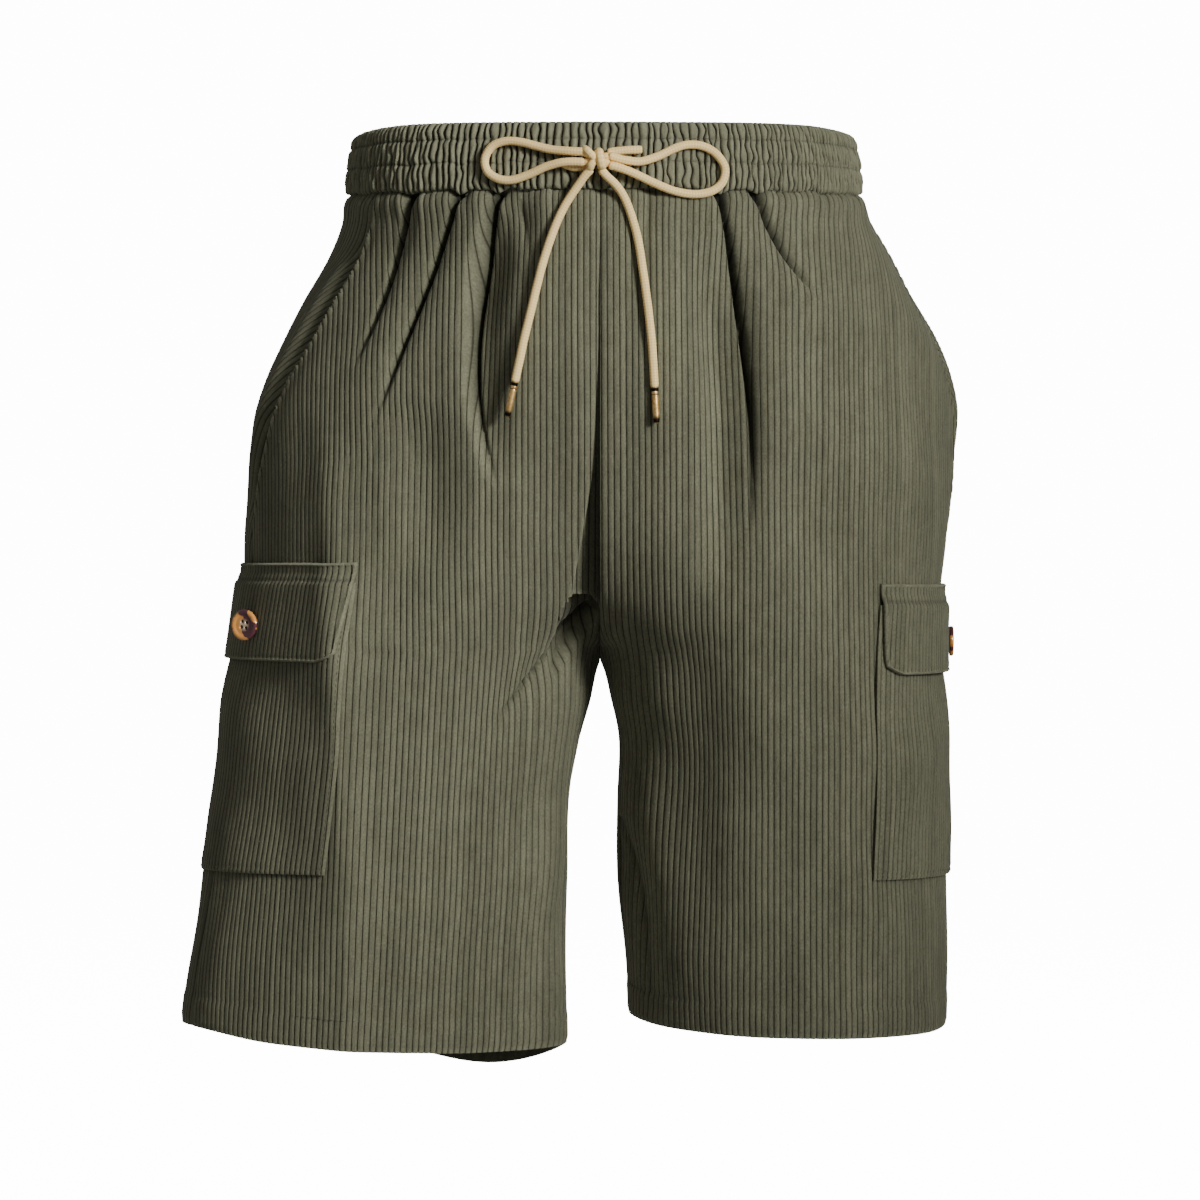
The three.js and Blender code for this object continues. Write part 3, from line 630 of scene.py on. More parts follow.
def cotton_material():
    """Pale braided cotton, with painted shade between its strands."""
    material, tree, shader = node_material("braided_cotton")
    fibre = noise(tree, attribute(tree, "grain", "Vector"), 2600.0, 2.0)
    # Painted shade between the strands, where the braid value is low
    tone = remap(tree, attribute(tree, "braid"), 0.1, 0.8, 0.0, 1.0)
    base = blend_colour(tree, "MIX", tone, (0.85, 0.56, 0.22, 1), (1.0, 0.78, 0.36, 1))
    base = times_grey(tree, base, remap(tree, fibre, 0.25, 0.75, 0.86, 1.12))
    sockets = {"Roughness": 0.85, "Specular IOR Level": 0.1}
    return finish_material(material, tree, shader, base, sockets, (fibre, 0.3, 0.0002))


def thread_material():
    material, tree, shader = node_material("thread")
    place = add_node(tree, "ShaderNodeTexCoord").outputs["Object"]
    tone = remap(tree, noise(tree, place, 3000.0, 1.0), 0.3, 0.7, 0.0, 1.0)
    base = blend_colour(tree, "MIX", tone, (0.055, 0.053, 0.036, 1), (0.10, 0.096, 0.066, 1))
    return finish_material(material, tree, shader, base, {"Roughness": 0.6})


def tortoiseshell_material():
    """Amber with maroon patches, a paler middle, and painted shade in the holes."""
    material, tree, shader = node_material("tortoiseshell")
    face = attribute(tree, "grain", "Vector")
    warp = add_node(tree, "ShaderNodeTexNoise", {}, {"Vector": face, "Scale": 110.0, "Detail": 2.0})
    shifted = blend_colour(tree, "LINEAR_LIGHT", 0.006, face, warp.outputs["Color"])
    patches = add_node(tree, "ShaderNodeTexWave", {"wave_type": "BANDS", "bands_direction": "DIAGONAL"}, {
        "Vector": shifted, "Scale": 34.0, "Distortion": 3.0, "Detail": 1.5, "Detail Scale": 1.4,
        "Phase Offset": 2.1,
    }).outputs["Fac"]
    amber = blend_colour(tree, "MIX", warp.outputs["Fac"], (0.62, 0.20, 0.03, 1), (0.75, 0.38, 0.10, 1))
    dark = remap(tree, patches, 0.50, 0.64, 0.0, 1.0)
    base = blend_colour(tree, "MIX", dark, amber, (0.085, 0.025, 0.032, 1))
    away = add_node(tree, "ShaderNodeVectorMath", {"operation": "LENGTH"}, {0: face}).outputs["Value"]
    pale = remap(tree, away, 0.0018, 0.0040, 0.75, 0.0)
    base = blend_colour(tree, "MIX", pale, base, (0.62, 0.48, 0.32, 1))
    # Painted shade in the button's holes
    base = blend_colour(tree, "MIX", attribute(tree, "shade"), base, (0.010, 0.006, 0.005, 1))
    sockets = {"Roughness": 0.22, "Coat Weight": 0.5, "Coat Roughness": 0.08}
    return finish_material(material, tree, shader, base, sockets)


def brass_material():
    """Stained brass, black where it is pressed in."""
    material, tree, shader = node_material("aged_brass")
    stain = noise(tree, add_node(tree, "ShaderNodeTexCoord").outputs["Object"], 420.0, 3.0)
    tone = remap(tree, stain, 0.35, 0.65, 0.0, 1.0)
    base = blend_colour(tree, "MIX", tone, (0.46, 0.27, 0.08, 1), (0.86, 0.58, 0.24, 1))
    base = blend_colour(tree, "MIX", attribute(tree, "shade"), base, (0.012, 0.009, 0.006, 1))
    tree.links.new(remap(tree, stain, 0.3, 0.7, 0.5, 0.34), shader.inputs["Roughness"])
    return finish_material(material, tree, shader, base, {"Metallic": 0.8})


# OLIVE_GROOVE and GATHER_GAP are painted shade in the grooves and between the gathers; GATHER_RIDGE is lighter than
# OLIVE_RIDGE as a painted highlight on the gathers' tops
OLIVE_RIDGE = (0.146, 0.1465, 0.094)
OLIVE_GROOVE = (0.036, 0.036, 0.022)
GATHER_RIDGE = (0.190, 0.190, 0.122)
GATHER_GAP = (0.022, 0.022, 0.014)
CORDUROY = corduroy_material("olive_corduroy", OLIVE_RIDGE, OLIVE_GROOVE)
GATHERED = corduroy_material("gathered_corduroy", GATHER_RIDGE, GATHER_GAP, 0.5)
COTTON = cotton_material()
THREAD = thread_material()
TORTOISESHELL = tortoiseshell_material()
BRASS = brass_material()


# Camera


def aim(thing, target):
    way = Vector(target) - thing.location
    thing.rotation_euler = way.to_track_quat("-Z", "Y").to_euler()


camera = bpy.data.objects.new("camera", bpy.data.cameras.new("camera"))
bpy.context.scene.collection.objects.link(camera)
camera.location = CAMERA_PLACE
camera.data.lens = CAMERA_LENS
camera.data.sensor_width = 36
aim(camera, CAMERA_AIM)
bpy.context.scene.camera = camera


# Drawstring


def smooth_route(points, step):
    """Points a step apart on the smooth curve through a route, the curve that the solids follow."""
    p = np.asarray(points, float)
    p = np.vstack([2 * p[0] - p[1], p, 2 * p[-1] - p[-2]])
    gap = np.linalg.norm(np.diff(p, axis=0), axis=1) ** 0.5
    q = np.linspace(0, 1, 40, endpoint=False)[:, None]
    pieces = []
    for i in range(1, len(p) - 2):
        a, b, c = gap[i - 1], gap[i], gap[i + 1]
        start = ((p[i] - p[i - 1]) / a - (p[i + 1] - p[i - 1]) / (a + b) + (p[i + 1] - p[i]) / b) * b
        finish = ((p[i + 1] - p[i]) / b - (p[i + 2] - p[i]) / (b + c) + (p[i + 2] - p[i + 1]) / c) * b
        rise = p[i] - p[i + 1]
        pieces.append(p[i] + q * start + q ** 2 * (-3 * rise - 2 * start - finish)
                      + q ** 3 * (2 * rise + start + finish))
    line = np.vstack([*pieces, p[-2:-1]])
    run = np.concatenate([[0], np.cumsum(np.linalg.norm(np.diff(line, axis=0), axis=1))])
    count = max(2, round(run[-1] / step))
    even = np.linspace(0, run[-1], count + 1)
    return np.stack([np.interp(even, run, line[:, k]) for k in range(3)], -1), run[-1]


def frames_along(line):
    """Two directions across a line at each of its points, turning as little as they can."""
    way = unit(np.gradient(line, axis=0))
    side = unit(np.cross(way[0], (0.3, 0.2, 1.0)))
    across = []
    for w in way:
        side = side - w * np.dot(side, w)
        side = side / np.linalg.norm(side)
        across.append((side, np.cross(w, side)))
    return np.array(across)


STRANDS = 4
BRAID_PITCH = 3.4 * MM
BRAID_DEPTH = 0.07


def braided_tube(name, line, radius, nodes=()):
    """A closed tube of braided cotton along a line of points."""
    sides = 28
    across = frames_along(line)
    run = np.concatenate([[0], np.cumsum(np.linalg.norm(np.diff(line, axis=0), axis=1))])
    angle = np.linspace(0, 2 * PI, sides, endpoint=False)
    s = run[:, None]
    turns = 2 * PI * s / BRAID_PITCH
    braid = 0.5 + 0.5 * np.cos(STRANDS * angle + turns) * np.cos(STRANDS * angle - turns)
    r = radius * (1 + BRAID_DEPTH * (braid - 0.6))
    end = np.minimum(run, run[-1] - run)[:, None] / radius
    r = r * np.sqrt(np.clip(1 - np.clip(1 - end - 0.35, 0, 1) ** 2, 0.05, 1))
    ring = (line[:, None] + r[..., None] * (np.cos(angle)[None, :, None] * across[:, None, 0]
                                            + np.sin(angle)[None, :, None] * across[:, None, 1]))
    points = np.vstack([ring.reshape(-1, 3), line[:1], line[-1:]])
    grain = np.stack([np.broadcast_to(angle * radius, braid.shape), np.broadcast_to(s, braid.shape),
                      np.zeros_like(braid)], -1).reshape(-1, 3)
    attributes = {
        "braid": np.concatenate([braid.ravel(), [0.5, 0.5]]),
        "grain": np.vstack([grain, grain[:1], grain[-1:]]),
    }
    faces = capped_tube_faces(len(line), sides)
    return build(name, points, faces, COTTON, attributes, nodes, sharp=70)


CORD_STEP = 0.55 * MM
lines = {}
for name, route in ROUTES.items():
    lines[name] = smooth_route(route, CORD_STEP)
    braided_tube(f"braid_{name}", lines[name][0], CORD_RADIUS, [name])


# The bow's knot, in mm from its middle: two strands cross inside it, one slanting turn wraps them, and the ends
# come from under it
KNOT_TURNS = {
    "knot_strand_right": [
        (-6.7, -0.5, 2.4), (-3.5, 0.2, 0.8), (0, 0.6, -1.0), (3.5, 0.1, -2.6), (7.1, -0.7, -4.0),
    ],
    "knot_strand_left": [
        (-6.7, -0.6, -2.9), (-3.4, 0.4, -2.6), (0, 0.9, -1.6), (3.6, 0.4, -0.4), (7.0, -0.6, 0.5),
    ],
    "knot_wrap": [
        (1.0, 3.6, 0.6), (1.2, 1.2, 2.4), (1.5, -1.8, 2.4), (1.9, -4.0, 0.5), (2.4, -4.8, -1.9),
        (2.8, -4.0, -4.2), (3.0, -1.4, -5.2), (2.8, 1.6, -4.4), (2.4, 3.6, -2.6),
    ],
    "knot_turn_upper": [
        (-6.4, 3.0, 2.8), (-6.4, 0.4, 4.2), (-5.4, -2.4, 3.6), (-3.8, -3.8, 2.0), (-2.0, -3.8, 0.2),
        (-0.6, -2.6, -1.4), (0.4, -0.8, -2.6),
    ],
    "knot_turn_right": [
        (1.0, -1.2, -2.2), (-0.8, -2.6, -2.6), (-2.4, -3.2, -3.8), (-3.2, -2.4, -5.4), (-3.2, -1.0, -6.6),
    ],
    "knot_turn_left": [(3.4, 0.4, -2.8), (3.6, -0.6, -4.4), (3.0, -0.8, -6.2), (2.6, -0.7, -7.0)],
}
WRAP_RADIUS = 2.5 * MM
TURN_RADIUS = 2.2 * MM
for name, turn in KNOT_TURNS.items():
    line, _ = smooth_route(KNOT + np.array(turn) * MM, CORD_STEP)
    if name == "knot_wrap":
        braided_tube(name, line, WRAP_RADIUS, ["bow_knot"])
    else:
        braided_tube(name, line, TURN_RADIUS)


def aglet(side):
    """A metal tip with a rolled collar, two crimped rings and a tapered end."""
    line = lines[f"cord_end_{side}"][0]
    route = np.asarray(ROUTES[f"cord_end_{side}"])
    way = unit(route[-1] - route[-2])
    tip = line[-1] - way * 0.8 * MM
    profile = [
        (1.2, 0.0), (1.75, 0.05), (2.15, 0.3), (2.2, 0.8), (2.0, 1.3), (1.95, 2.4), (1.8, 2.8), (1.95, 3.2),
        (1.95, 4.4), (1.8, 4.8), (1.95, 5.2), (2.0, 7.0), (2.0, 12.0), (1.98, 16.0), (1.9, 18.6), (1.6, 20.2),
        (1.1, 20.9), (0.4, 21.1),
    ]
    radii, run = (np.array(column) * MM for column in zip(*profile))
    sides = 40
    a, b = frames_along(np.array([tip, tip + way * 0.02]))[0]
    angle = np.linspace(0, 2 * PI, sides, endpoint=False)
    circle = np.cos(angle)[:, None] * a + np.sin(angle)[:, None] * b
    ring = tip + run[:, None, None] * way + radii[:, None, None] * circle[None]
    seam = 0.12 * MM * bell(angle - PI * 0.6, 0.12)
    ring -= seam[None, :, None] * circle[None] * (run > 5 * MM)[:, None, None]
    points = np.vstack([ring.reshape(-1, 3), tip[None], tip[None] + way * run[-1]])
    faces = capped_tube_faces(len(run), sides)
    marks = [0.8, 1.3, 2.8, 3.2, 4.4, 4.8, 5.2, 16.0, 18.6, 20.2, 21.1]
    dark = np.interp(run / MM, marks, [0, 1, 1, 0, 0, 1, 0, 0, 1, 1, 0])
    dark = np.concatenate([np.repeat(dark, sides), [0.0, 0.2]])
    return build(f"metal_tip_{side}", points, faces, BRASS, {"shade": dark}, [f"aglet_{side}"], sharp=40)


aglets = {side: aglet(side) for side in ("right", "left")}


# Stitches


def stitches(name, points, normals, length=2.6 * MM):
    """Short joined lengths of thread along a line of points on the cloth."""
    gap, radius, sink = 0.9 * MM, 0.28 * MM, 0.05 * MM
    run = np.concatenate([[0], np.cumsum(np.linalg.norm(np.diff(points, axis=0), axis=1))])
    count = int((run[-1] + gap) / (length + gap))
    starts = np.arange(count) * (length + gap)
    share = np.array([0.0, 0.12, 0.5, 0.88, 1.0])
    width = np.array([0.35, 0.85, 1.0, 0.85, 0.35])
    lift = np.array([-0.9, 0.1, 0.5, 0.1, -0.9])
    sides = 6
    angle = np.linspace(0, 2 * PI, sides, endpoint=False)
    rings = starts[:, None] + share * length
    at = np.stack([np.interp(rings, run, points[:, k]) for k in range(3)], -1)
    up = unit(np.stack([np.interp(rings, run, normals[:, k]) for k in range(3)], -1))
    way = unit(np.gradient(at, axis=1))
    over = unit(np.cross(way, up))
    middle = at + up * (lift * radius - sink)[None, :, None]
    r = (width * radius)[None, :, None, None]
    circle = np.cos(angle)[:, None] * over[:, :, None] + np.sin(angle)[:, None] * up[:, :, None]
    ring = middle[:, :, None] + r * circle
    per = len(share) * sides
    one = tube_faces(len(share), sides)
    one += [list(range(sides))[::-1], list(range(per - sides, per))]
    faces = [[corner + n * per for corner in face] for n in range(count) for face in one]
    return build(name, ring.reshape(-1, 3), faces, THREAD, {}, (), sharp=60)


# Panels

PANEL_ROWS = {True: 176, False: 132}
ALLOWANCE = np.array([6.0, 3.0, 0.8]) * MM
TUCKED_OUT = -0.7 * MM
REFERENCE_X = {
    "right": [(-0.012, 0.110), (-0.284, 0.110), (-0.548, 0.124)],
    "left": [(-0.012, 0.108), (-0.548, 0.110)],
}
PLUMB_Z = -0.24
SEAM_PINCH = 1.1 * MM
EDGE_WALE = 0.6


def wale_table(leg, front):
    """Where the wales run: a table of shares by height and by distance across from one wale. Above PLUMB_Z the
    wales hang straight down in front view, as far as the cloth can stretch, and the seams cut them off."""
    table = leg.table[front]
    x, length = table[..., 0], table[:, :1, 5]
    wanted = np.interp(-leg.Z, *(np.array(column) * sign for column, sign in zip(zip(*REFERENCE_X[leg.name]), (-1, 1))))
    step = length / (len(leg.SHARE) - 1)
    lean = np.diff(x, axis=1) / step
    level = np.argmin(np.abs(leg.Z - PLUMB_Z))
    peak = int(np.argmax(x[level]))
    middle = (x[:, 1:] + x[:, :-1]) / 2
    rate = np.interp(middle, middle[level, :peak], 1 / np.maximum(lean[level, :peak], 0.4)) * lean
    plumb = np.clip((leg.Z[:, None] - PLUMB_Z) / 0.04, 0, 1)
    rate = mix(1, np.clip(rate, 0.78, 1.3), plumb)
    if front:
        inner = np.clip((wanted[:, None] - 0.04 - middle) / 0.04, 0, 1)
        rate = mix(rate, np.clip(lean, 0.6, 1), inner)
    across = np.concatenate([np.zeros((len(x), 1)), np.cumsum(rate * step, axis=1)], axis=1)
    tops = [int(np.argmax(row)) + 1 for row in x]
    start = [np.interp(at, row[:top], line[:top]) for at, row, line, top in zip(wanted, x, across, tops)]
    across -= np.array(start)[:, None]
    even = np.arange(across.min() - WALE, across.max() + WALE, 0.4 * MM)
    return even, np.array([np.interp(even, line, leg.SHARE) for line in across])


def panel_shape(leg, front):
    """Grid of shares and heights of one panel, a column of points along each line of its wales."""
    even, shares = wale_table(leg, front)
    places, heights = wale_columns(even[0], even[-1])
    rows = PANEL_ROWS[front]
    down = np.linspace(0, 1, rows + 1)
    down = 0.62 * down + 0.38 * down ** 2
    down = np.concatenate([np.zeros(len(ALLOWANCE)), down])
    above = np.concatenate([ALLOWANCE, np.zeros(rows + 1)])[:, None]
    share = np.full((len(down), len(places)), 0.5)
    column = np.clip((places - even[0]) / (even[1] - even[0]), 0, len(even) - 1.001)
    c0 = column.astype(int)
    part = column - c0
    for _ in range(4):
        x = leg.side * leg.skin(front, share[0], SEAM_Z)[..., 0]
        top = seam_height(x) - HALF_GAP
        foot = leg.hem(share[-1] if front else 2 - share[-1])
        z = mix(top[None, :], foot[None, :], down[:, None]) + above
        row = np.clip((leg.Z[0] - z) / 0.001, 0, len(leg.Z) - 1.001)
        r0 = row.astype(int)
        upper = mix(shares[r0, c0], shares[r0, c0 + 1], part)
        lower = mix(shares[r0 + 1, c0], shares[r0 + 1, c0 + 1], part)
        share = mix(upper, lower, row - r0)
    share = np.where(share < 1e-4, 0, np.where(share > 1 - 1e-4, 1, share))
    whole = leg.skin(front, share, z)[..., 5]
    clamped = (share <= 0) | (share >= 1)
    used = ~clamped.all(axis=0)
    used[:-1] |= used[1:].copy()
    used[1:] |= used[:-1].copy()
    share, z, whole, places, heights, clamped = (a[..., used] for a in (share, z, whole, places, heights, clamped))
    wale = np.where(clamped, EDGE_WALE, heights[None, :])
    same = np.zeros(share.shape, bool)
    same[:, 1:] = clamped[:, 1:] & clamped[:, :-1] & (share[:, 1:] == share[:, :-1])
    return share, z, whole, places, wale, same


MOUTH_TOP = -0.028
MOUTH_FOOT = -0.225


def pocket_mouth(front, from_outer, z):
    """The in-seam pocket: the front's edge stands up as a rib, the seam lies deep and the back bulges behind it."""
    down = np.clip((MOUTH_TOP - z) / 0.02, 0, 1) * np.clip((z - MOUTH_FOOT) / 0.03, 0, 1)
    out = -2.6 * MM * bell(from_outer, 1.3 * MM)
    if front:
        return down * (out + 1.5 * MM * bell(from_outer - 2.6 * MM, 1.7 * MM))
    belly = np.sin(PI * np.clip((MOUTH_TOP - 0.02 - z) / 0.16, 0, 1))
    hollow = 1.6 * MM * bell(from_outer - 3 * MM, 3 * MM)
    bulge = belly * 3.2 * MM * bell(from_outer - 15 * MM, 7 * MM)
    return down * (out - hollow + bulge)


def crotch_forms(x, z):
    """On the front of the right leg the cloth laps over the centre along a slanting edge, and ends in a short arch
    with a hollow beneath it. Returns how far out they move the cloth, and the painted shade (above zero) under the
    lap and in the hollow with the painted highlight (below zero) on the edge and the arch's lip."""
    line = 0.002 + 0.17 * np.clip(-0.165 - z, 0, 1)
    reach = np.clip((-0.165 - z) / 0.03, 0, 1) * np.clip((z + 0.262) / 0.010, 0, 1)
    under = reach * np.clip((line - x) / (1.4 * MM), 0, 1)
    edge = reach * bell(x - line - 0.8 * MM, 1.1 * MM)
    arch = -0.2528 - 0.0148 * ((x - 0.011) / 0.0125) ** 4
    crease = -0.2665 - 1.38 * x
    hollow = np.clip((arch - z) / (1.6 * MM), 0, 1) * np.clip((z - crease) / (4 * MM), 0, 1)
    hollow = hollow * np.clip((0.028 - x) / 0.010, 0, 1)
    lip = bell(z - arch - 0.9 * MM, 1.0 * MM) * (np.abs(x - 0.011) < 0.0135)
    out = -2.6 * MM * under + 0.6 * MM * edge - 7.0 * MM * hollow + 0.8 * MM * lip
    return out, 0.12 * under - 0.35 * edge + 0.6 * hollow - 0.4 * lip


def panel_relief(leg, front, share, z, whole, wale, shade):
    """How far each point of a panel's outside stands off the solid's skin, apart from its folds."""
    from_inner, from_outer = share * whole, (1 - share) * whole
    edge = np.minimum(from_inner, from_outer)
    x = leg.skin(front, share, z)[..., 0]
    below = seam_height(leg.side * x) - z
    tucked = np.clip(-below / (0.5 * MM), 0, 1)
    below = np.maximum(below, 0)
    seed = (11 if front else 23) + (0 if leg.name == "right" else 5)
    along = from_inner + 0.12 * z
    out = -GROOVE * (1 - wale) * (1 - 0.7 * shade)
    out -= SEAM_PINCH * bell(edge, 1.6 * MM)
    clear = np.clip(edge / 0.015, 0, 1)
    loose = clear * np.clip(below / 0.06, 0, 1)
    out += loose * 0.5 * MM * waves(along + 0.4 * z, (0.061, 0.113), seed)
    out += loose * 0.6 * MM * waves(z + 0.3 * along, (0.083, 0.149), seed + 1)
    pucker = waves(along, (0.0085, 0.0127, 0.0191, 0.031), seed + 2)
    out += clear * 0.8 * MM * pucker * np.exp(-below / 0.012)
    out += pocket_mouth(front, from_outer, z)
    out += 1.5 * MM * bell(below - 0.007, 0.0065) - 2.2 * MM * np.exp(-below / 0.0016)
    below_tip = z + 0.289
    out += 4.9 * MM * bell(below_tip, np.where(below_tip < 0, 0.018, 0.010)) * bell(from_inner, 0.014)
    hem_line = leg.hem(share if front else 2 - share) + HEM
    out -= 0.55 * MM * bell(z - hem_line, 1.0 * MM)
    out += 0.45 * MM * (z < hem_line)
    foot = z - (hem_line - HEM)
    out -= 0.9 * MM * bell(foot, 1.1 * MM)
    return mix(out, TUCKED_OUT, tucked)


def panel(leg, front):
    share, z, whole, places, wale, same = panel_shape(leg, front)
    # Painted shade in the creases: the cloth is darkened along each crease, in step with its depth
    dark = np.clip(creases(leg.folds(front), leg.skin(front, share, z)[..., 0], z) / CREASE_DARK, 0, 1)
    relief = panel_relief(leg, front, share, z, whole, wale, dark)
    if front and leg.name == "right":
        out, crotch_shade_and_highlight = crotch_forms(leg.skin(front, share, z)[..., 0], z)
        relief, dark = relief + out, dark + crotch_shade_and_highlight
    outside = leg.cloth(front, share, z, relief, creased=True)
    hem_line = leg.hem(share if front else 2 - share) + HEM
    folded = 1.3 * MM * np.clip((hem_line + 1 * MM - z) / MM, 0, 1)
    wall = CLOTH + 0.2 * MM + folded
    foot = z - (hem_line - HEM)
    from_outer = (1 - share) * whole
    # Painted highlight along the hem's folded edge and, in front, along the pocket mouth's rib
    edge_highlight = 0.3 * bell(foot, 1.5 * MM)
    if front:
        edge_highlight = edge_highlight + 0.45 * bell(from_outer - 2.4 * MM, 1.1 * MM) * np.clip((-0.1 - z) / 0.03, 0, 1) * (z > MOUTH_FOOT)
    inner_relief = relief + GROOVE * (1 - wale) - wall
    inside = leg.cloth(front, share, z, inner_relief, creased=True)
    grain = np.stack([np.broadcast_to(places, share.shape), z, np.zeros_like(z)], -1)
    face = "front" if front else "back"
    looks = {"wale": wale, "grain": grain, "shade": dark - edge_highlight}
    piece = make_shell(f"{face}_panel_{leg.name}", outside, inside, (2, 3), same, CORDUROY, looks,
                       f"{face}_{leg.name}")
    line = np.linspace(0.004, 0.996, 240)
    level = leg.hem(line if front else 2 - line) + HEM
    hem_stitches = stitches(f"hem_stitches_{face}_{leg.name}", leg.cloth(front, line, level, -0.75 * MM, creased=True),
                            leg.skin(front, line, level)[..., 2:5] * (leg.side, 1, 1))
    return piece, hem_stitches


panels = {}
for leg in LEGS.values():
    for front in (True, False):
        panels[leg.name, front] = panel(leg, front)[0]


# Waistband

GATHER_PLACES = np.array([0.0, 0.1, 0.24, 0.42, 0.6, 0.78, 0.9])
ELASTIC_LINES = (0.25, 0.60)
# Levels of the band where its gathers are placed anew, with how freely they wander there
GATHER_LEVELS = np.array([0.0, 0.12, 0.25, 0.34, 0.50, 0.60, 0.74, 0.90, 1.0])
GATHER_WANDER = np.array([0.25, 0.34, 0.12, 0.26, 0.34, 0.12, 0.30, 0.30, 0.15])


def gather_profile(place):
    """Height of a gather across its width: round, with a narrow gap at either side."""
    return 1 - np.abs(2 * place - 1) ** 3.0


def band_points(turn, share, out):
    """A point of the waistband by its angle from the centre front and its share of the way from the top edge."""
    half = np.where(turn < 0, RIGHT_SECTIONS[0][1], LEFT_SECTIONS[0][1])
    depth = RIGHT_SECTIONS[0][3]
    x, y = half * np.sin(turn), -depth * np.cos(turn)
    normal = unit(np.stack([x / half ** 2, y / depth ** 2], -1))
    top = BAND_TOP - TOP_DIP * np.sin(turn) ** 8
    z = mix(top, seam_height(x) + HALF_GAP, share)
    return np.stack([x + normal[..., 0] * out, y + normal[..., 1] * out, z], -1)


def between_levels(table, share):
    """Rows of a table by gather, one row a level, at the shares of the way down."""
    level = np.interp(share, GATHER_LEVELS, np.arange(len(GATHER_LEVELS)))
    low = np.minimum(level.astype(int), len(GATHER_LEVELS) - 2)
    return mix(table[low], table[low + 1], ease(level - low)[:, None])


def waistband():
    rng = np.random.default_rng(4)
    place_on_ring = np.linspace(-1, 1, GATHERS)
    widths = mix(1.14, 0.88, np.clip(0.5 + 1.2 * np.sin(PI * place_on_ring), 0, 1)) * rng.uniform(0.8, 1.2, GATHERS)
    edges = np.concatenate([[0], np.cumsum(widths)]) / widths.sum() * 2 * PI - PI
    wander = rng.uniform(-1, 1, (len(GATHER_LEVELS), GATHERS + 1)) * GATHER_WANDER[:, None] * 2 * PI / GATHERS
    wander[:, (0, -1)] = 0
    sizes = rng.uniform(0.55, 1.3, (len(GATHER_LEVELS), GATHERS))
    down = np.linspace(0, 1, BAND_ROWS + 1)
    edge_table = edges + between_levels(wander, down)
    size_table = between_levels(sizes, down)
    count = len(GATHER_PLACES)
    place = np.concatenate([np.tile(GATHER_PLACES, GATHERS), [1.0]])
    number = np.concatenate([np.repeat(np.arange(GATHERS), count), [GATHERS - 1]])
    turn = mix(edge_table[:, number], edge_table[:, number + 1], place)
    turn = np.clip(turn, -PI + 0.00005, PI - 0.00005)
    share = np.broadcast_to(down[:, None], turn.shape)
    size = size_table[:, number]
    lean = np.interp(share, [0, 0.12, 0.45, 0.85, 1], np.array([-5, -2.5, 0, 1.4, 1]) * MM)
    strong = mix(1.0, 0.66, np.clip((np.sin(turn) * np.cos(turn / 2) + 0.25) / 0.5, 0, 1))
    height = np.broadcast_to(gather_profile(place), turn.shape)
    channel = np.min([np.abs(share - line) for line in ELASTIC_LINES], axis=0)
    dent = bell(channel, 0.022)
    ends = np.minimum(share, 1 - share)
    round_edge = np.clip(ends / 0.05, 0, 1) ** 0.5
    wave = (height - 0.62) * 1.9 * GATHER_DEPTH * size * strong * (1 - 0.3 * dent) * mix(0.55, 1, round_edge)
    fine = 0.28 * MM * waves(turn * 0.13 + 0.012 * share, (0.0033, 0.0051, 0.0078), 9)
    out = lean + wave + fine - 0.6 * MM * dent - 1.0 * MM * (1 - round_edge) + 0.35 * MM
    outside = band_points(turn, share, out)
    outside[..., 2] += (0.35 * MM * (height - 0.5) * size) * (bell(share, 0.08) - 0.6 * bell(1 - share, 0.08))
    inside = band_points(turn, share, lean - CASING + 0.25 * MM * np.sin(PI * share))
    grain = np.stack([turn * 0.13 * 1.9, outside[..., 2], np.zeros_like(turn)], -1)
    same = np.zeros(share.shape, bool)
    # Painted shade along the elastic channels and on the smaller gathers, painted highlight on the larger gathers'
    # tops; through the wale value the gaps between gathers take painted shade
    shade = 0.25 * dent - 0.15 * (size - 0.9) * height
    looks = {"wale": np.clip(height * 1.1, 0, 1), "grain": grain, "shade": shade}
    piece = make_shell("gathered_waistband", outside, inside, (4, 7), same, GATHERED, looks, "waistband", sharp=80)
    rows = [int(round(line * BAND_ROWS)) for line in ELASTIC_LINES]
    for n, row in enumerate(rows):
        line = outside[row]
        away = unit(line * (1, 1, 0))
        stitches(f"band_stitches_{n + 1}", line, away, length=2.9 * MM)
    return piece


band = waistband()


# Cargo pockets


def pocket_point(leg, pocket, across, z, out):
    """A point of a pocket. across is the distance in front of its middle, z the height there."""
    middle = pocket["ahead"] + pocket["swing"] * (pocket["top"] - z) / (pocket["top"] - pocket["foot"])
    return leg.ahead(middle + across, z + POCKET_TILT * across, out)


def bag_lift(pocket, share, z):
    upper = pocket["top"] - BAG_BELOW
    down = np.clip((upper - z) / (upper - pocket["foot"]), 0, 1)
    return PATCH_LIFT + BAG_BELLY * (1 - share ** 2) * np.sin(PI * np.sqrt(down))


def patch_edges(place, low, high):
    """Columns held inside a patch, with marks where one falls on its neighbour."""
    held = np.clip(place, low, high)
    same = np.zeros(held.shape, bool)
    same[:, 1:] = np.abs(held[:, 1:] - held[:, :-1]) < 1e-9
    return held, same


